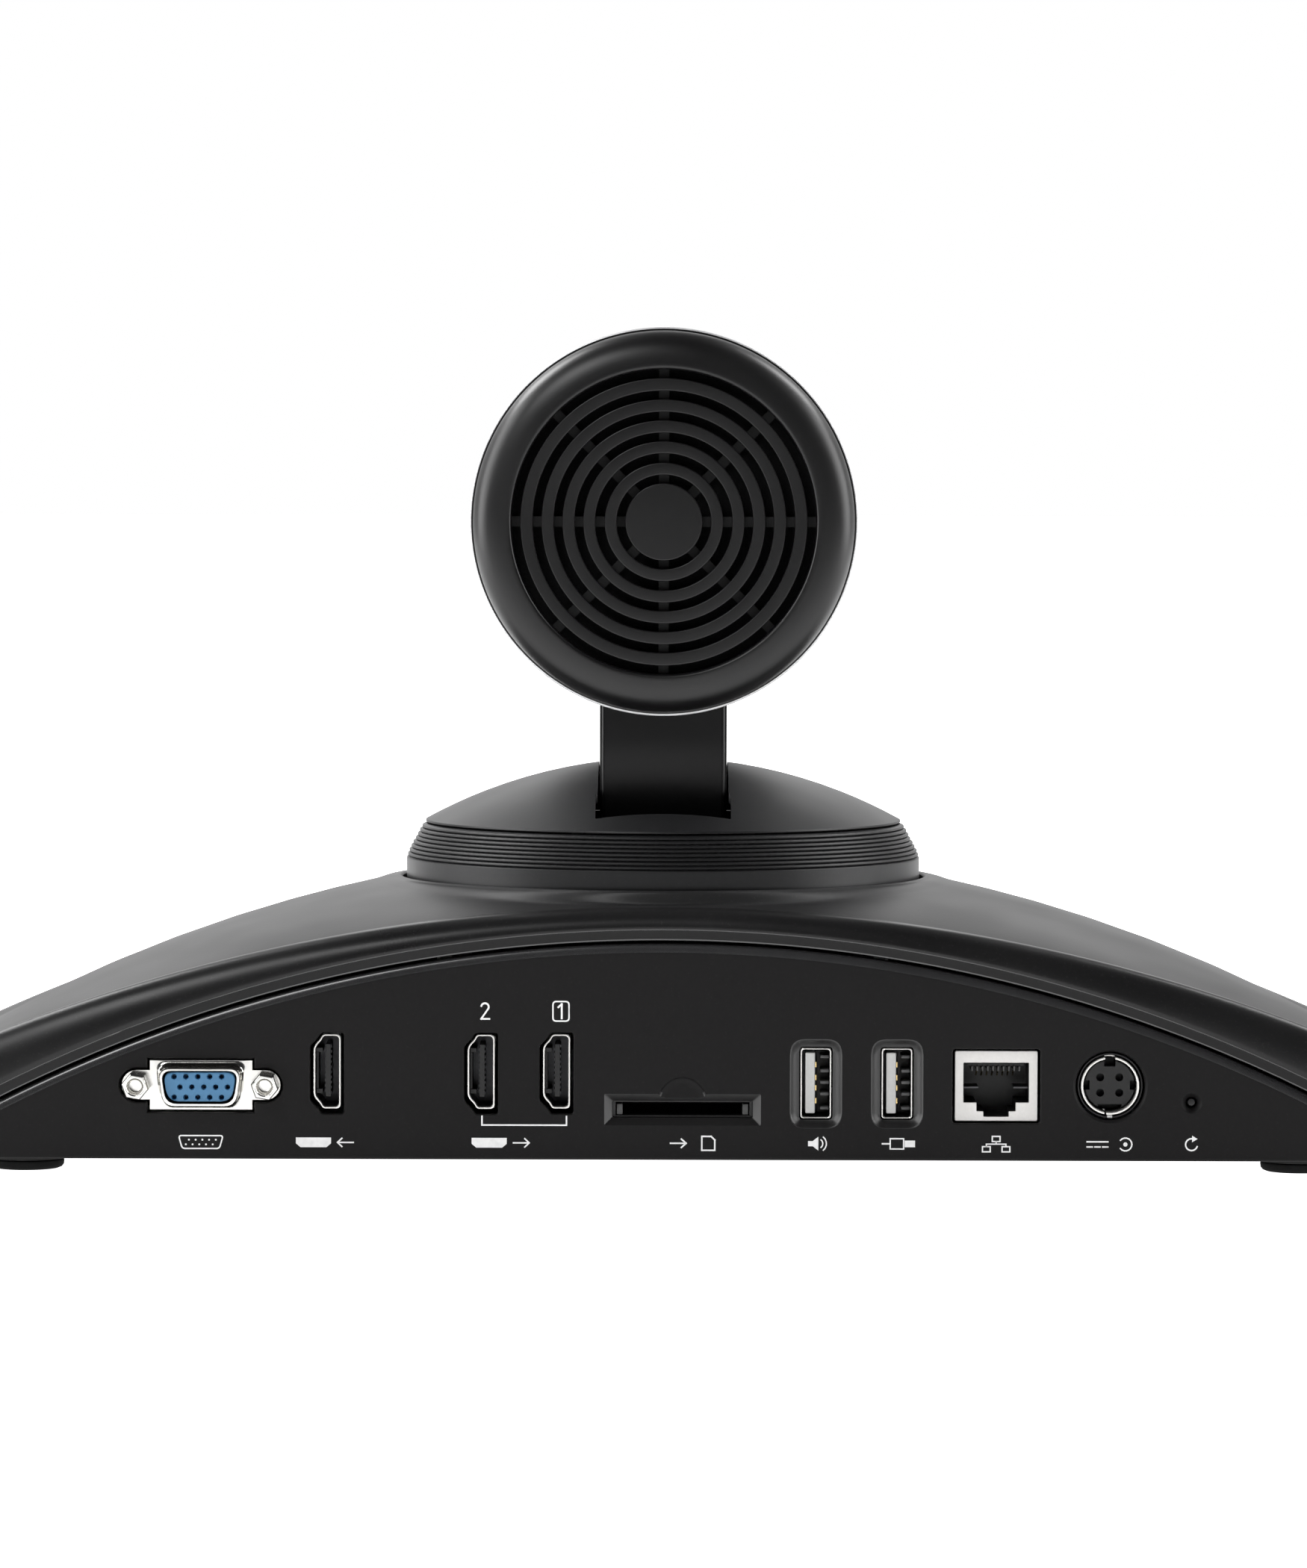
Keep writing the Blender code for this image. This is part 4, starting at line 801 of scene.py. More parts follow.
for node, s in (("vga_jackscrew_left", 1), ("vga_jackscrew_right", -1)):
    cx, cz = VGA[0] + 12.5 * s, VGA[1]
    hexa = [(2.72 * math.cos(math.radians(60 * i + 10)), 2.72 * math.sin(math.radians(60 * i + 10))) for i in range(6)]
    j = raw(node + "_nut", loft([[(u + cx, y, v + cz) for u, v in [(a * k, b * k) for a, b in hexa]] for y, k in ((59.3, 1.0), (63.6, 1.0), (64.0, 0.90))]), mats=[M_VGA])
    boolean(j, revolve([(1.9, 64.5), (1.75, 64.0), (1.35, 63.5), (1.3, 63.0), (1.42, 62.8), (1.28, 62.55), (1.42, 62.3), (1.28, 62.05), (1.42, 61.8), (1.25, 61.5), (1.25, 60.2)],
                       32, 'Y', (cx, 0, cz), ring=False))
    finish_piece(j, "base", [node], "bright_metal", smooth=25, bevel=0.1, seg=2, limit=30)

# ------------------------------------------------------------------ digital video sockets
def paint_cavity_shade(ob, c, front, keep):
    """Faces of a socket shell that look into its own cavity get painted shade: darkened steel stands in for the shade
    inside the cavity.
    """
    mid = to_world((c[0], 0, c[1]))
    for p in ob.data.polygons:
        d = Vector((mid.x - p.center.x, 0, mid.z - p.center.z))
        if p.center.y < to_world((0, front, 0)).y + 1e-9 and (p.normal.dot(d) > 0 or (p.normal.y > 0.9)):
            p.material_index = 1


for key, c in (("hdmi_in", HDMI_IN), ("hdmi_out_2", HDMI_OUT2), ("hdmi_out_1", HDMI_OUT1)):
    outs = [(47.0, 0.0), (58.6, 0.0), (58.78, 0.0), (58.88, -0.06), (58.9, -0.14)]
    inns = [(58.88, -0.30), (58.7, -0.38), (58.3, -0.40), (47.6, -0.40)]
    hs = raw(key + "_metal_shell", loft([[(u + c[0], y, v + c[1]) for u, v in hdmi_outline(g, 0.9)] for y, g in outs + inns]), mats=[M_NICKEL, M_CAVITY_SHADE])
    paint_cavity_shade(hs, c, 58.35, lambda u, v: True)
    finish_piece(hs, "base", [key + "_shell"], "bright_metal", smooth=35)
    tongue = raw(key + "_contact_tongue", block(c[0] - 0.65, c[0] + 0.35, 47.9, 57.7, c[1] - 5.0, c[1] + 5.2), mats=[M_BLACK])
    finish_piece(tongue, "base", [key + "_tongue"], "black_plastic", bevel=0.12, seg=2)
    fins = [block(c[0] - 0.78, c[0] - 0.66, 50.0, 57.2, c[1] - 4.5 + k * 1.0, c[1] - 4.5 + k * 1.0 + 0.5) for k in range(10)]
    fins += [block(c[0] + 0.36, c[0] + 0.48, 50.0, 57.2, c[1] - 4.1 + k * 1.0, c[1] - 4.1 + k * 1.0 + 0.5) for k in range(9)]
    # contact fins deep in the socket get the darkened steel: painted shade
    g = raw(key + "_contacts", merge(fins), mats=[M_CAVITY_SHADE])
    finish_piece(g, "base", [], None)
    liner = [block(c[0] + 0.95, c[0] + 2.15, 49.0, 57.0, c[1] - 4.4, c[1] - 3.6), block(c[0] + 0.95, c[0] + 2.15, 49.0, 57.0, c[1] + 3.6, c[1] + 4.4),
             block(c[0] + 1.75, c[0] + 2.15, 48.5, 56.6, c[1] - 3.5, c[1] + 3.5)]
    g = raw(key + "_spring_leaves", merge(liner), mats=[M_BLACK])
    finish_piece(g, "base", [], None)

# ------------------------------------------------------------------ card slot
sd = raw("sd_card_socket", cup(shift(rect(28.4, 4.2), *SD), shift(rect(25.9, 2.56), *SD), 33.0, 57.7, 34.0, 'Y'), mats=[M_BLACK])
finish_piece(sd, "base", ["sd_card_slot"], "black_plastic", bevel=0.12, seg=2)
rails = [block(SD[0] + 11.6, SD[0] + 12.75, 50.0, 57.2, SD[1] - 1.2, SD[1] + 0.9), block(SD[0] - 12.75, SD[0] - 11.6, 50.0, 57.2, SD[1] - 1.2, SD[1] + 0.9)]
g = raw("sd_guide_rails", merge(rails), mats=[M_GREY])
finish_piece(g, "base", [], None, bevel=0.15, seg=2)

# ------------------------------------------------------------------ USB-A sockets
for k, c in ((1, USB1), (2, USB2)):
    def us(g, r=0.6):
        return rounded(rect(6.0 + 2 * g, 13.7 + 2 * g), r, 4)
    loops = [(46.5, us(0)), (58.35, us(0)), (58.55, us(-0.06)), (58.6, us(-0.16)), (58.55, us(-0.26)), (58.3, us(-0.31)), (47.1, us(-0.31))]
    hs = raw("usb_%d_metal_shell" % k, loft([[(u + c[0], y, v + c[1]) for u, v in p] for y, p in loops]), mats=[M_NICKEL, M_CAVITY_SHADE])
    paint_cavity_shade(hs, c, 58.35, lambda u, v: True)
    finish_piece(hs, "base", ["usb_a_shell_%d" % k], "bright_metal", smooth=35)
    t = raw("usb_%d_tongue" % k, block(c[0] + 0.15, c[0] + 2.05, 47.4, 58.0, c[1] - 5.9, c[1] + 5.9), mats=[M_WHITE])
    finish_piece(t, "base", ["usb_a_tongue_%d" % k], "white_plastic", bevel=0.25, seg=3)
    con = [block(c[0] - 0.12, c[0] + 0.14, 48.5, 57.3, c[1] + z - 0.5, c[1] + z + 0.5) for z in (-3.5, -1.0, 1.0, 3.5)]
    g = raw("usb_%d_contacts" % k, merge(con), mats=[M_GOLD])
    finish_piece(g, "base", [], None)
    back = [block(c[0] - 2.55, c[0] - 0.3, 49.4, 50.2, c[1] - 6.4, c[1] + 6.4)]
    back += [block(c[0] - 2.55, c[0] - 0.9, 50.25, 56.8, c[1] + z - 0.28, c[1] + z + 0.28) for z in (-5.0, -2.25, 0.0, 2.25, 5.0)]
    g = raw("usb_%d_grey_frame" % k, merge(back), mats=[M_GREY])
    finish_piece(g, "base", [], None, bevel=0.08, seg=2)

# ------------------------------------------------------------------ network jack
LAN_FACE = [(-8.0, -6.8), (-2.5, -6.8), (2.5, -6.8), (8.0, -6.8), (8.0, -3.2), (8.0, 4.0), (8.0, 6.8), (3.0, 6.8),
            (-3.0, 6.8), (-8.0, 6.8), (-8.0, 4.0), (-8.0, -3.2)]
LAN_HOLE = [(-3.8, -4.9), (-2.45, -6.0), (2.45, -6.0), (3.8, -4.9), (3.8, -3.3), (6.35, -3.2), (6.35, 4.5), (3.0, 4.5),
            (-3.0, 4.5), (-6.35, 4.5), (-6.35, -3.2), (-3.8, -3.3)]
lan = raw("lan_metal_shell", extrude(shift(rounded(rect(16.0, 13.6), 0.3, 3), *LAN), 58.1, 58.9, 'Y'), mats=[M_LANFACE])
stair = [(-2.45, -6.0), (2.45, -6.0), (2.45, -4.95), (3.8, -4.95), (3.8, -3.25), (6.35, -3.25), (6.35, 4.5), (-6.35, 4.5), (-6.35, -3.25), (-3.8, -3.25),
         (-3.8, -4.95), (-2.45, -4.95)]
boolean(lan, extrude(shift(stair, *LAN), 57.0, 60.0, 'Y'))
finish_piece(lan, "base", ["lan_jack_shell"], "bright_metal", bevel=0.12, seg=2)
body = raw("lan_black_body", extrude(shift(rect(15.6, 13.2), *LAN), 44.5, 58.0, 'Y'), mats=[M_BLACK])
boolean(body, extrude(shift([(u * 0.995, v * 0.995) for u, v in stair], *LAN), 46.0, 60.0, 'Y'))
finish_piece(body, "base", [], "black_plastic", bevel=0.1, seg=2)
comb = [block(LAN[0] - 5.6, LAN[0] + 5.6, 46.4, 55.5, LAN[1] + 3.62, LAN[1] + 4.1)]
g = raw("lan_contact_block", merge(comb), mats=[M_BLACK])
finish_piece(g, "base", ["lan_jack_insert"], "black_plastic", bevel=0.08, seg=2)
ribs = [block(LAN[0] + 1.02 * (i - 4.5) - 0.14, LAN[0] + 1.02 * (i - 4.5) + 0.14, 46.6, 56.6, LAN[1] + 2.7, LAN[1] + 3.6) for i in range(10)]
g = raw("lan_contact_ribs", merge(ribs), mats=[M_GREY])
finish_piece(g, "base", [], None)
wires = []
for i in range(8):
    cx = LAN[0] + 1.02 * (i - 3.5)
    poly = [(55.6, LAN[1] + 3.55), (55.9, LAN[1] + 3.55), (49.4, LAN[1] + 1.2), (49.1, LAN[1] + 1.2)]
    wires.append(extrude([(a, b) for a, b in poly], cx - 0.16, cx + 0.16, 'X'))
g = raw("lan_contact_wires", merge(wires), mats=[M_GOLD])
finish_piece(g, "base", [], None)
ledge = [block(LAN[0] - 6.2, LAN[0] - 3.4, 50.0, 57.3, LAN[1] - 0.6, LAN[1] - 0.3), block(LAN[0] + 3.4, LAN[0] + 6.2, 50.0, 57.3, LAN[1] - 0.6, LAN[1] - 0.3)]
# side springs inside the jack get the darkened steel: painted shade
g = raw("lan_side_springs", merge(ledge), mats=[M_CAVITY_SHADE])
finish_piece(g, "base", [], None)

# ------------------------------------------------------------------ round power inlet
dcc = (DC[0], 0, DC[1])
dc = raw("dc_inlet_housing", revolve([(0.3, 46.0), (6.35, 46.0), (6.35, 58.6), (6.25, 58.8), (6.05, 58.8), (5.95, 58.6), (5.95, 50.0), (4.9, 50.0), (4.9, 57.4),
                                      (4.75, 57.6), (0.3, 57.6)], 72, 'Y', dcc, ring=False), mats=[M_BLACK])
cut = [cyl(0.78, 53.5, 59.0, 24, 'Y', (DC[0] + dx, 0, DC[1] + dz)) for dx in (-1.85, 1.85) for dz in (-1.5, 1.5)]
boolean(dc, merge(cut))
keys = [block(DC[0] - 1.1, DC[0] + 1.1, 52.0, 59.0, DC[1] + 3.6, DC[1] + 5.6), block(DC[0] - 5.6, DC[0] - 3.9, 52.0, 59.0, DC[1] - 0.9, DC[1] + 0.9),
        block(DC[0] + 3.9, DC[0] + 5.6, 52.0, 59.0, DC[1] - 0.9, DC[1] + 0.9), block(DC[0] - 2.3, DC[0] + 2.3, 52.0, 59.0, DC[1] - 5.0, DC[1] - 3.7)]
boolean(dc, merge(keys))
finish_piece(dc, "base", ["dc_jack_housing"], "black_plastic", smooth=30)
ring = raw("dc_inlet_ring", revolve([(5.66, 50.4), (5.66, 58.88), (5.6, 58.98), (5.5, 59.0), (5.32, 59.0), (5.22, 58.98), (5.18, 58.88), (5.18, 50.4)], 96, 'Y', dcc), mats=[M_NICKEL])
boolean(ring, merge([block(DC[0] - 1.0, DC[0] + 1.0, 52.0, 60.0, DC[1] + 4.5, DC[1] + 6.5), block(DC[0] + 0.7, DC[0] + 1.1, 52.0, 60.0, DC[1] - 6.5, DC[1] - 4.5)]))
finish_piece(ring, "base", ["dc_jack_ring"], "bright_metal", smooth=35)
tabp = raw("dc_inlet_tab", block(DC[0] - 0.45, DC[0] + 0.55, 52.0, 58.9, DC[1] - 6.25, DC[1] - 5.7), mats=[M_WHITE])
finish_piece(tabp, "base", [], None, bevel=0.1, seg=2)

piece("reset_plunger", revolve([(0.2, 52.0), (1.6, 52.0), (1.6, 56.6), (0.8, 56.8), (0.8, 58.4), (0.65, 58.65), (0.2, 58.7)], 36, 'Y', (RESET[0], 0, RESET[1]), ring=False),
      M_BLACK, "reset_button", ["reset_button"], "black_plastic", smooth=40)

# ------------------------------------------------------------------ base internals (plain, out of sight)
paint("main_board", M_BOARD)
paint("pan_bearing", M_STEEL)
paint("pan_motor", M_STEEL)
for node in ("pan_gear", "pan_pinion", "tilt_pinion", "tilt_gear"):
    paint(node, M_NYLON)
for node in ("tilt_motor", "tilt_axle"):
    paint(node, M_STEEL)
for node in ("tilt_bracket_left", "tilt_bracket_right", "tilt_brackets"):
    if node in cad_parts:
        paint(node, M_STEEL)
paint("turret_chassis", M_BLACK)
paint("sensor_board", M_BOARD)

# ------------------------------------------------------------------ ribbed collar and dome
prof = [(49.3, 46.3), (51.35, 46.3), (51.5, 46.45), (51.5, 55.35), (51.42, 55.55), (51.25, 55.6)]
ribs_r = [51.3, 51.0, 50.6, 50.2, 49.7, 49.3, 48.9, 48.4]
for i, r in enumerate(ribs_r):
    z = 55.9 + i * 0.801
    g = r - 0.34
    prof += [(g, z - 0.16), (r - 0.1, z - 0.02), (r, z + 0.08), (r, z + 0.26), (r - 0.04, z + 0.36), (r - 0.13, z + 0.44), (r - 0.3, z + 0.5), (r - 0.42, z + 0.56)]
prof += [(47.75, 62.2), (47.5, 62.3), (45.9, 62.3), (47.0, 58.0)]
piece("turret_ribbed_collar", revolve(prof, 224, 'Z', (0, 0, 0)), M_TURRET, "turret", ["turret_collar"], "shell_plastic", smooth=38)

RD, APEX = 98.5, 75.3


def dome_z(r, rr=RD, top=APEX):
    return top - rr + math.sqrt(rr * rr - r * r)


dprof = [(0.0005, dome_z(0.0))] + [(r, dome_z(r)) for r in (4, 8, 12, 16, 20, 24, 28, 32, 36, 39, 42, 44.5, 46.4, 47.2)]
dprof += [(47.62, dome_z(47.5) - 0.05), (47.7, 62.75), (47.62, 62.6), (45.6, 62.6)] + [(r, dome_z(r) - 2.0) for r in (45, 42, 38, 34, 29, 24, 18, 12, 6)] + [(0.0005, dome_z(0.0) - 2.0)]
dome = raw("turret_dome_cap", revolve(dprof, 192, 'Z', (0, 0, 0), ring=False), mats=[M_TURRET])
slot_poly = [(-12.9, -34.0), (12.9, -34.0), (12.9, 29.9), (13.3, 30.1), (13.3, 41.3), (-13.3, 41.3), (-13.3, 30.1), (-12.9, 29.9)]
boolean(dome, extrude(rounded(slot_poly, 0.4, 3), 40, 90, 'Z'))
finish_piece(dome, "turret", ["turret_dome"], "shell_plastic", smooth=30, bevel=0.16, seg=2, limit=45)

# ------------------------------------------------------------------ neck
def neck_rear(z):
    return 31.5 - 9.0 * max(0.0, (80.0 - z) / 26.0) ** 1.8


def lattice(outline, x_levels):
    """Extrude a y/z outline along x through levels of (x, inset)."""
    return loft([[(x, u, v) for u, v in (grow(outline, -d) if d else outline)] for x, d in x_levels])


paint("neck_frame", M_NECK)

# rear cover plate of the neck: bright thin side edges, a dark seam, then the satin plate
zs = [60.5 + (91.0 - 60.5) * i / 26 for i in range(27)]


def neck_strip(d_out, d_in, ztop=91.0, zbot=60.5):
    zz = [zbot + (ztop - zbot) * i / 26 for i in range(27)]
    return [(neck_rear(z) - d_out, z) for z in zz] + [(neck_rear(z) - d_in, z) for z in reversed(zz)]


plate_x = [(-12.1, 0.62), (-12.02, 0.34), (-11.9, 0.16), (-11.72, 0.05), (-11.4, 0.0)]
plate_x = plate_x + [(-x, d) for x, d in reversed(plate_x)]
sections = []
for x, d in plate_x:
    sections.append([(x, u, v) for u, v in neck_strip(d, 1.5)])
plate = raw("neck_rear_plate", loft(sections), mats=[M_NECK])
seams = []
for s in (-1, 1):
    seams.append(loft([[(s * 11.52, u, v) for u, v in neck_strip(-0.4, 0.35, 91.5, 60.0)], [(s * 11.66, u, v) for u, v in neck_strip(-0.4, 0.35, 91.5, 60.0)]]))
boolean(plate, merge(seams))
for p in plate.data.polygons:
    if abs(p.center.x) > 11.66 * MM:
        p.material_index = 0
finish_piece(plate, "head", ["neck_rear_cover"], "shell_plastic", smooth=32)

# ------------------------------------------------------------------ head shells
HC = (0, 0, HEAD_Z)


def half_loops(sign, levels, segs=96):
    loops = []
    for y, r_out, r_in in levels:
        outer, inner = [], []
        for i in range(segs + 1):
            a = 0.004 + (math.pi - 0.008) * i / segs
            outer.append((r_out * math.cos(a), y, HEAD_Z + sign * r_out * math.sin(a)))
            inner.append((r_in * math.cos(a), y, HEAD_Z + sign * r_in * math.sin(a)))
        loops.append(outer + inner[::-1])
    return loops


shell_levels = [(-40.0, 37.75, 36.1), (-39.8, 37.95, 36.0), (-39.4, 38.0, 36.0), (32.9, 38.0, 36.0), (33.3, 37.95, 36.0), (33.5, 37.75, 36.1)]
upper = raw("head_upper_cover", loft(half_loops(1, shell_levels)), mats=[M_HEAD])
finish_piece(upper, "head", ["head_upper_shell"], "shell_plastic", smooth=40)
lower = raw("head_lower_cover", loft(half_loops(-1, shell_levels)), mats=[M_HEAD])
boolean(lower, block(-12.75, 12.75, -22.25, 31.85, 78, 100))
finish_piece(lower, "head", ["head_lower_shell"], "shell_plastic", smooth=40)

SEG = 256
hr = raw("head_bright_ring", revolve([(36.1, 33.8), (38.0, 33.8), (38.1, 33.9), (38.13, 34.1), (38.13, 35.6), (38.1, 35.8), (38.02, 35.95), (37.9, 36.03), (37.75, 36.06), (37.5, 36.1), (36.1, 36.2)], SEG, 'Y', HC), mats=[M_TRIM, M_GRILLE])
for p in hr.data.polygons:
    rr = math.hypot(p.center.x, p.center.z - to_world((0, 0, HEAD_Z)).z) / MM
    if p.normal.y > 0.6 and rr < 37.72:
        p.material_index = 1
finish_piece(hr, "head", ["head_trim_ring"], "silver_trim", smooth=40)

# ------------------------------------------------------------------ rear cover with the grille
cover_prof = [(35.0, 36.55), (37.2, 36.55), (37.38, 36.7), (37.38, 37.2), (37.15, 38.0), (36.75, 38.9), (36.2, 39.75), (35.4, 40.5), (34.4, 41.08), (33.3, 41.52),
              (32.2, 41.78), (31.2, 41.93), (30.6, 41.98), (30.25, 41.93), (30.0, 41.75), (29.86, 41.45), (29.8, 41.0), (29.8, 38.0), (33.4, 38.0)]
grille = raw("rear_grille_cover", revolve(cover_prof, SEG, 'Y', HC), mats=[M_GRILLE, M_HEAD])


def ring_prof(r0, r1, back=39.5, front=41.6, e=0.28):
    return [(r0, back), (r1, back), (r1, front - e), (r1 - e * 0.3, front - e * 0.3), (r1 - e, front), (r0 + e, front), (r0 + e * 0.3, front - e * 0.3), (r0, front - e)]


parts = [revolve([(0.001, 39.5), (7.54, 39.5), (7.54, 41.32), (7.46, 41.52), (7.26, 41.6), (0.001, 41.6)], 96, 'Y', HC, ring=False)]
for r0, r1 in ((9.22, 11.57), (13.4, 15.75), (17.43, 19.83), (21.5, 23.9), (25.6, 28.05)):
    parts.append(revolve(ring_prof(r0, r1), SEG, 'Y', HC))
for p in parts:
    boolean(grille, p, 'UNION')
finish_piece(grille, "head", ["head_rear_cover"], "shell_plastic", smooth=30)
webs = []
for k in range(8):
    a = math.radians(45 * k)
    u, v = Vector((math.cos(a), math.sin(a))), Vector((-math.sin(a), math.cos(a)))
    for r0, r1, y1 in ((6.0, 10.0, 38.2), (9.6, 27.0, 39.55), (26.6, 30.2, 38.2)):
        poly = [tuple(u * s_ + v * t * 1.0) for s_, t in ((r0, -1), (r1, -1), (r1, 1), (r0, 1))]
        webs.append(extrude(shift(poly, 0, HEAD_Z), 37.65 + 0.003 * k, y1 + 0.003 * k - (0.9 if k % 2 else 0.6) * (y1 > 39), 'Y'))
web = raw("grille_dark_webs", merge(webs), mats=[M_SPOKE])
finish_piece(web, "head", [], "black_plastic")
# the screen behind the grille rings is a real black part, made darker to paint the shade deep in the gaps
piece("vent_dark_screen", cyl(32.8, 36.8, 37.6, 128, 'Y', HC), M_VENT_SHADE, "head", ["vent_screen"], "black_plastic", smooth=40)

# ------------------------------------------------------------------ front bezel, barrel and glass
piece("front_gloss_bezel", revolve([(26.0, -40.3), (38.0 - 0.05, -40.3), (38.0, -40.6), (38.0, -41.7), (37.85, -42.3), (37.0, -43.9), (36.2, -44.5), (34.5, -44.95), (33.0, -45.0),
                                    (31.0, -44.7), (29.0, -44.15), (27.4, -43.2), (26.1, -42.1), (26.0, -41.9)], SEG, 'Y', HC), M_GLOSS, "head", ["front_bezel"], "gloss_black", smooth=40)
piece("lens_barrel_tube", revolve([(24.3, -3.0), (24.3, -36.0), (25.6, -36.5), (25.6, -42.2), (25.45, -42.5), (23.9, -42.95), (23.6, -43.0), (23.2, -42.4), (22.8, -41.2), (22.4, -40.6), (21.9, -40.9),
                                   (21.5, -40.3), (21.1, -40.2), (20.7, -39.7), (20.5, -39.5), (20.5, -3.0)], 192, 'Y', HC), M_BLACK, "head", ["lens_barrel"], "black_plastic", smooth=28)
lens_pts = [(0.0005, -38.05)] + [(r, -38.05 + 0.00505 * r * r) for r in (3, 6, 9, 12, 15, 18)] + [(20.2, -36.0), (20.2, -38.5)]
lens_pts += [(r, -41.75 + 3.15 * (r / 20.2) ** 2) for r in (19.6, 18.5, 17, 15, 13, 11, 9, 7, 5, 3)] + [(0.0005, -41.75)]
piece("front_lens_glass", revolve(lens_pts, 128, 'Y', HC, ring=False), M_GLASS, "head", ["front_lens"], "lens_glass", smooth=60)
zg = [(0.0005, -19.2), (2, -19.4), (8, -20.1), (13, -20.5), (15, -18), (19.8, -18), (19.8, -26), (15, -26), (13, -24), (7, -24.7), (2, -25), (0.0005, -25.0)]
piece("zoom_lens_carriage", revolve(zg, 96, 'Y', HC, ring=False), [M_BLACK], "zoom_group", ["zoom_group"], "black_plastic", smooth=35)

# ------------------------------------------------------------------ generic print on the rear panel
def stroke(points, w, y0=59.99, y1=60.012, closed=False):
    """Thin raised print following a polyline in x/z (right-hand side of the viewer is -x)."""
    out = []
    n_ = len(points)
    for i in range(n_ if closed else n_ - 1):
        a, b = Vector(points[i]), Vector(points[(i + 1) % n_])
        d = (b - a).normalized()
        nrm = Vector((-d.y, d.x)) * (w / 2)
        e = d * (w / 2)
        q = [a - e - nrm, b + e - nrm, b + e + nrm, a - e + nrm]
        out.append(extrude([tuple(p) for p in q], y0 + 0.0004 * i, y1 + 0.0004 * i, 'Y'))
    return out


print_shapes = []


def mark(shapes):
    print_shapes.extend(shapes)


def bar(cx, cz, w, h=1.5):
    mark([extrude(shift(rounded(rect(w, h), 0.3, 3), cx, cz), 59.99, 60.012, 'Y')])


LABEL_Z = 3.4
# video socket: an outline of the D shell with three rows of dots
d_icon = [(-3.6, -1.25), (3.6, -1.25), (4.3, 1.25), (-4.3, 1.25)]
mark(stroke(shift(rounded(d_icon, 0.6, 4), VGA[0], LABEL_Z), 0.26, closed=True))
for r_ in range(2):
    for i in range(5):
        cx, cz = VGA[0] + (i - 2) * 1.3 + (0.3 if r_ else -0.3), LABEL_Z + 0.45 - 0.9 * r_
        mark([extrude([(cx + 0.2 * math.cos(a_ * 1.0472), cz + 0.2 * math.sin(a_ * 1.0472)) for a_ in range(6)], 59.99, 60.012, 'Y')])


def arrow(cx, cz, into):
    """Small arrow; into points it at the plug mark on the viewer's left."""
    s_ = 1 if into else -1
    mark(stroke([(cx + s_ * 1.5, cz), (cx - s_ * 1.5, cz)], 0.28))
    mark(stroke([(cx + s_ * 0.7, cz + 0.8), (cx + s_ * 1.55, cz), (cx + s_ * 0.7, cz - 0.8)], 0.28))


# digital sockets: a solid plug mark with an arrow, in or out
for cx, into in ((64.9, True), (30.9, False)):
    plug = [(-3.4, 0.95), (3.4, 0.95), (3.4, -0.2), (2.5, -0.95), (-2.5, -0.95), (-3.4, -0.2)]
    mark([extrude([(cx + 2.6 + u, LABEL_Z + v) for u, v in plug], 59.99, 60.012, 'Y')])
    arrow(cx - 3.6, LABEL_Z, into)
# bracket joining the two outputs
mark(stroke([(34.9, 8.55), (34.9, 6.85), (18.55, 6.85), (18.55, 8.55)], 0.30))
# "2" and boxed "1" over the outputs


def arc_pts(cx, cz, r, a0, a1, n_=10, sx=1.0):
    return [(cx + sx * r * math.cos(math.radians(a0 + (a1 - a0) * i / n_)), cz + r * math.sin(math.radians(a0 + (a1 - a0) * i / n_))) for i in range(n_ + 1)]


# the viewer looks along -y, so +x is on their left: digits are written with x mirrored
g2 = arc_pts(0, 0.85, 0.72, 165, -25, 12) + [(-0.72, -1.45), (0.85, -1.45)]
mark(stroke([(34.35 - u, 28.9 + v) for u, v in g2], 0.34))
g1 = [(-0.55, 0.75), (0.1, 1.35), (0.1, -1.4)]
mark(stroke([(19.6 - u, 29.0 + v) for u, v in g1], 0.36))
mark(stroke([(19.65 + u, 28.95 + v) for u, v in rounded(rect(3.1, 3.8), 0.7, 4)], 0.28, closed=True))
# card slot: bar and a card outline with a cut corner
mark(stroke([(-4.6, LABEL_Z), (-1.6, LABEL_Z)], 0.3))
mark(stroke([(-3.7, LABEL_Z + 0.8), (-4.6, LABEL_Z), (-3.7, LABEL_Z - 0.8)], 0.3))
card = [(-1.25, -1.35), (1.25, -1.35), (1.25, 0.65), (0.55, 1.35), (-1.25, 1.35)]
mark(stroke([(-8.9 - u, LABEL_Z + v) for u, v in card], 0.3, closed=True))
# speaker pictogram under the first socket
spk = [(-1.5, -0.5), (-0.6, -0.5), (0.5, -1.35), (0.5, 1.35), (-0.6, 0.5), (-1.5, 0.5)]
mark([extrude([(-29.7 - u, LABEL_Z + v) for u, v in spk], 59.99, 60.012, 'Y')])
mark(stroke([(-29.7 - u, LABEL_Z + v) for u, v in arc_pts(0.4, 0, 0.95, -50, 50, 8)], 0.24))
mark(stroke([(-29.7 - u, LABEL_Z + v) for u, v in arc_pts(0.4, 0, 1.65, -50, 50, 8)], 0.24))
# flat plug pictogram under the second
mark(stroke([(-45.4 + u, LABEL_Z + v) for u, v in rect(2.6, 2.0)], 0.26, closed=True))
mark([extrude([(-47.9 + u, LABEL_Z + v) for u, v in rect(2.0, 1.3)], 59.99, 60.014, 'Y')])
mark(stroke([(-44.0, LABEL_Z), (-42.6, LABEL_Z)], 0.3))
# network: three linked squares
for u, v in ((0.0, 1.0), (-1.9, -1.0), (1.9, -1.0)):
    mark(stroke([(LAN[0] + u + a, LABEL_Z + v + b) for a, b in rect(1.5, 1.0)], 0.26, closed=True))
mark(stroke([(LAN[0], LABEL_Z + 0.5), (LAN[0], LABEL_Z)], 0.24))
mark(stroke([(LAN[0] - 1.9, LABEL_Z - 0.5), (LAN[0] - 1.9, LABEL_Z), (LAN[0] + 1.9, LABEL_Z), (LAN[0] + 1.9, LABEL_Z - 0.5)], 0.24))
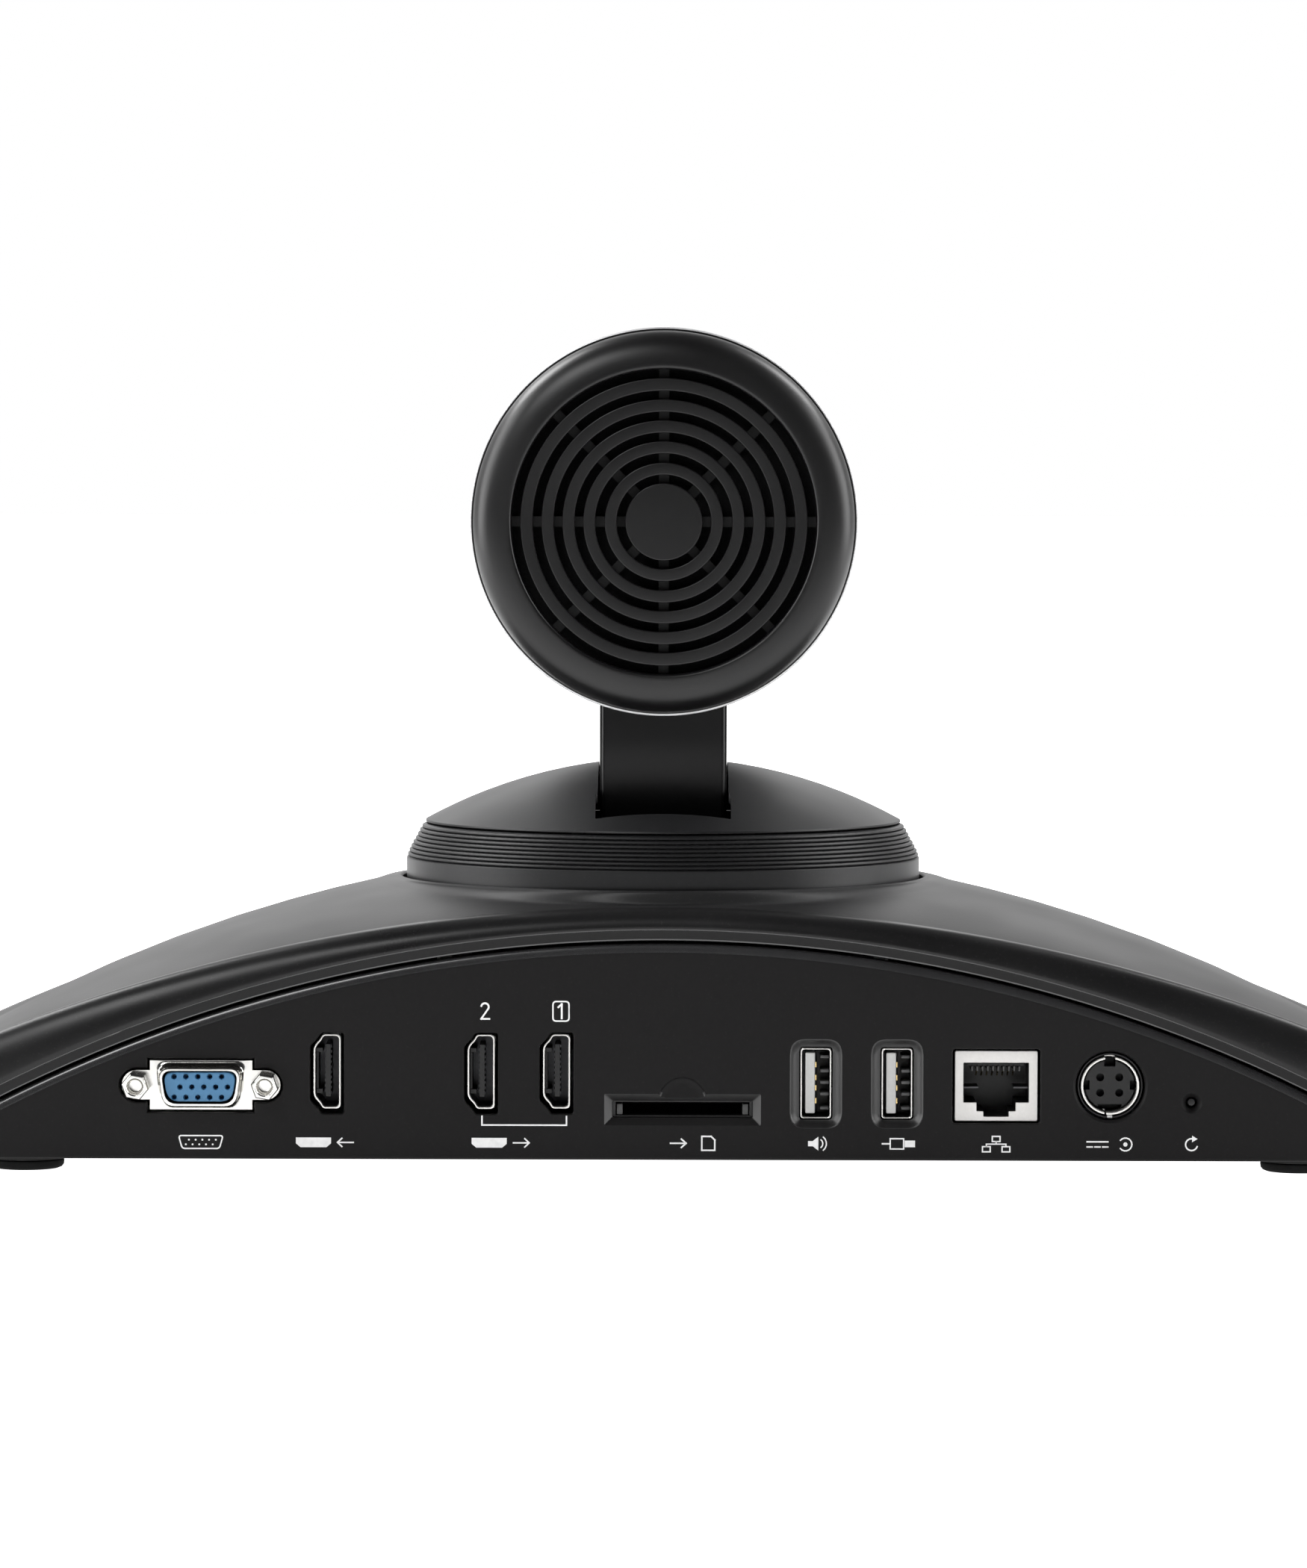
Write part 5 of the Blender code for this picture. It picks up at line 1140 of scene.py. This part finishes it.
# power inlet: straight line over a dashed line
mark(stroke([(-82.2, LABEL_Z + 0.5), (-86.2, LABEL_Z + 0.5)], 0.28))
for i in range(3):
    mark(stroke([(-82.2 - 1.5 * i, LABEL_Z - 0.5), (-83.2 - 1.5 * i, LABEL_Z - 0.5)], 0.28))
mark(stroke([(-89.6 + u, LABEL_Z + v) for u, v in arc_pts(0, 0, 1.25, 40, 320, 14)], 0.26))
mark([extrude([(-89.6 + 0.42 * math.cos(a_ * 0.5236), LABEL_Z + 0.42 * math.sin(a_ * 0.5236)) for a_ in range(12)], 59.99, 60.014, 'Y')])
# reset: circular arrow and a short bar
mark(stroke([(-102.4 - u, LABEL_Z + v) for u, v in arc_pts(0, 0, 1.15, 60, 340, 16)], 0.28))
mark([extrude([(-102.4 - 0.1, LABEL_Z + 1.75), (-102.4 - 0.1, LABEL_Z + 0.45), (-102.4 - 1.15, LABEL_Z + 1.1)], 59.99, 60.014, 'Y')])
ink = raw("panel_print", merge(print_shapes), mats=[M_INK])
ink.data.shade_flat()
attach(ink, "base")

# ------------------------------------------------------------------ floor, light, camera
scene = bpy.context.scene


def flat_mat(name, color, rough):
    m = Nodes(name)
    b = m.bsdf
    n_ = m.add("ShaderNodeTexNoise", Scale=3.0, Detail=2.0, Roughness=0.5)
    m.link(m.coords(1.0), n_.inputs["Vector"])
    r = m.ramp(n_.outputs["Fac"], [(0.3, color), (0.7, tuple(c * 0.995 for c in color))])
    m.link(r.outputs["Color"], b.inputs["Base Color"])
    b.inputs["Roughness"].default_value = rough
    b.inputs["Specular IOR Level"].default_value = 0.1
    return m.mat


M_FLOOR = flat_mat("studio_floor", (0.90, 0.90, 0.90), 0.9)
_ft = M_FLOOR.node_tree
_f = _ft.nodes["Principled BSDF"]
_f.inputs["Emission Color"].default_value = (1, 1, 1, 1)
_tc = _ft.nodes.new("ShaderNodeTexCoord")
_sep = _ft.nodes.new("ShaderNodeSeparateXYZ")
_ft.links.new(_tc.outputs["Object"], _sep.inputs["Vector"])
_mr = _ft.nodes.new("ShaderNodeMapRange")
_mr.interpolation_type = 'SMOOTHSTEP'
_mr.inputs["From Min"].default_value, _mr.inputs["From Max"].default_value = 0.05, 0.40
_mr.inputs["To Min"].default_value, _mr.inputs["To Max"].default_value = 0.48, 0.02
_ft.links.new(_sep.outputs["Y"], _mr.inputs["Value"])
_ft.links.new(_mr.outputs["Result"], _f.inputs["Emission Strength"])
_seen = _ft.nodes.new("ShaderNodeEmission")
_seen.inputs["Strength"].default_value = 0.90
_add = _ft.nodes.new("ShaderNodeAddShader")
_path = _ft.nodes.new("ShaderNodeLightPath")
_mix = _ft.nodes.new("ShaderNodeMixShader")
_ft.links.new(_f.outputs["BSDF"], _add.inputs[0])
_ft.links.new(_seen.outputs["Emission"], _add.inputs[1])
_ft.links.new(_path.outputs["Is Camera Ray"], _mix.inputs["Fac"])
_ft.links.new(_f.outputs["BSDF"], _mix.inputs[1])
_ft.links.new(_add.outputs["Shader"], _mix.inputs[2])
_ft.links.new(_mix.outputs["Shader"], _ft.nodes["Material Output"].inputs["Surface"])
mesh = bpy.data.meshes.new("studio_floor")
mesh.from_pydata([(-9, -9, 0), (9, -9, 0), (9, 9, 0), (-9, 9, 0)], [], [(0, 1, 2, 3)])
mesh.materials.append(M_FLOOR)
floor = bpy.data.objects.new("studio_floor", mesh)
scene.collection.objects.link(floor)
floor.location.z = cad_lo.z
floor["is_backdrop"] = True

world = bpy.data.worlds.new("studio")
scene.world = world
world.use_nodes = True
wt = world.node_tree
bg = wt.nodes["Background"]
bg.inputs["Color"].default_value = (1, 1, 1, 1)
tcw = wt.nodes.new("ShaderNodeTexCoord")
sepw = wt.nodes.new("ShaderNodeSeparateXYZ")
wt.links.new(tcw.outputs["Generated"], sepw.inputs["Vector"])
ycurve = wt.nodes.new("ShaderNodeValToRGB")
ycurve.color_ramp.interpolation = 'EASE'
el = ycurve.color_ramp.elements
el[0].position, el[0].color = 0.0, (1.0, 1.0, 1.0, 1)
el[1].position, el[1].color = 1.0, (0.045, 0.045, 0.045, 1)
for pos, val in ((0.22, 0.80), (0.42, 0.28), (0.62, 0.07)):
    e = el.new(pos)
    e.color = (val, val, val, 1)
ymap = wt.nodes.new("ShaderNodeMapRange")
ymap.inputs["From Min"].default_value, ymap.inputs["From Max"].default_value = -1.0, 1.0
wt.links.new(sepw.outputs["Y"], ymap.inputs["Value"])
wt.links.new(ymap.outputs["Result"], ycurve.inputs["Fac"])
zmap = wt.nodes.new("ShaderNodeMapRange")
zmap.inputs["From Min"].default_value, zmap.inputs["From Max"].default_value = 0.15, 0.75
zmap.inputs["To Min"].default_value, zmap.inputs["To Max"].default_value = 1.0, 0.22
wt.links.new(sepw.outputs["Z"], zmap.inputs["Value"])
mulw = wt.nodes.new("ShaderNodeMath")
mulw.operation = 'MULTIPLY'
wt.links.new(ycurve.outputs["Color"], mulw.inputs[0])
wt.links.new(zmap.outputs["Result"], mulw.inputs[1])
wt.links.new(mulw.outputs["Value"], bg.inputs["Strength"])
bg2 = wt.nodes.new("ShaderNodeBackground")
bg2.inputs["Color"].default_value = (1, 1, 1, 1)
bg2.inputs["Strength"].default_value = 1.0
lp = wt.nodes.new("ShaderNodeLightPath")
mixw = wt.nodes.new("ShaderNodeMixShader")
wt.links.new(lp.outputs["Is Camera Ray"], mixw.inputs["Fac"])
wt.links.new(bg.outputs["Background"], mixw.inputs[1])
wt.links.new(bg2.outputs["Background"], mixw.inputs[2])
wt.links.new(mixw.outputs["Shader"], wt.nodes["World Output"].inputs["Surface"])


def softbox(name, loc, target, w, h, power, color=(1, 1, 1)):
    data = bpy.data.lights.new(name, 'AREA')
    data.shape = 'RECTANGLE'
    data.size, data.size_y = w, h
    data.energy = power
    data.color = color
    ob = bpy.data.objects.new(name, data)
    scene.collection.objects.link(ob)
    ob.location = loc
    d = Vector(target) - Vector(loc)
    ob.rotation_mode = 'QUATERNION'
    ob.rotation_quaternion = d.to_track_quat('-Z', 'Y')
    return ob


softbox("left_panel", (1.35, 0.15, 0.50), (0, 0.0, 0.06), 0.9, 1.2, 19)
softbox("right_panel", (-1.35, 0.10, 0.46), (0, 0.0, 0.06), 0.9, 1.2, 17)
softbox("back_panel", (0.25, -1.6, 0.95), (0, 0.0, 0.06), 1.8, 0.8, 5)
softbox("overhead_left", (0.78, -0.42, 1.0), (0.12, 0.05, 0.05), 0.6, 0.5, 12)
softbox("overhead_right", (-0.80, -0.40, 0.98), (-0.12, 0.05, 0.05), 0.5, 0.5, 8)
softbox("camera_side_fill", (0.75, 1.45, 1.35), (0, 0.05, 0.06), 0.8, 0.6, 12)

cam_data = bpy.data.cameras.new("photo_camera")
cam_data.sensor_fit = 'AUTO'
cam_data.sensor_width = 36.0
cam_data.lens = 10001.0 / 2100.0 * 36.0
cam_data.clip_start, cam_data.clip_end = 0.05, 50.0
cam = bpy.data.objects.new("photo_camera", cam_data)
scene.collection.objects.link(cam)
cam.location = (0.0, (PAN_Y + 1500.0) * MM, (FOOT + 145.0) * MM)
PITCH, YAW, ROLL = math.radians(2.862), math.atan(13.0 / 10001.0), math.radians(0.145)
fwd = Vector((math.sin(YAW), -math.cos(YAW) * math.cos(PITCH), -math.sin(PITCH)))
cam.rotation_mode = 'QUATERNION'
q = fwd.to_track_quat('-Z', 'Y')
cam.rotation_quaternion = q @ Quaternion((0, 0, 1), ROLL)
scene.camera = cam
scene.view_settings.view_transform = 'Standard'

lo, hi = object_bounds()
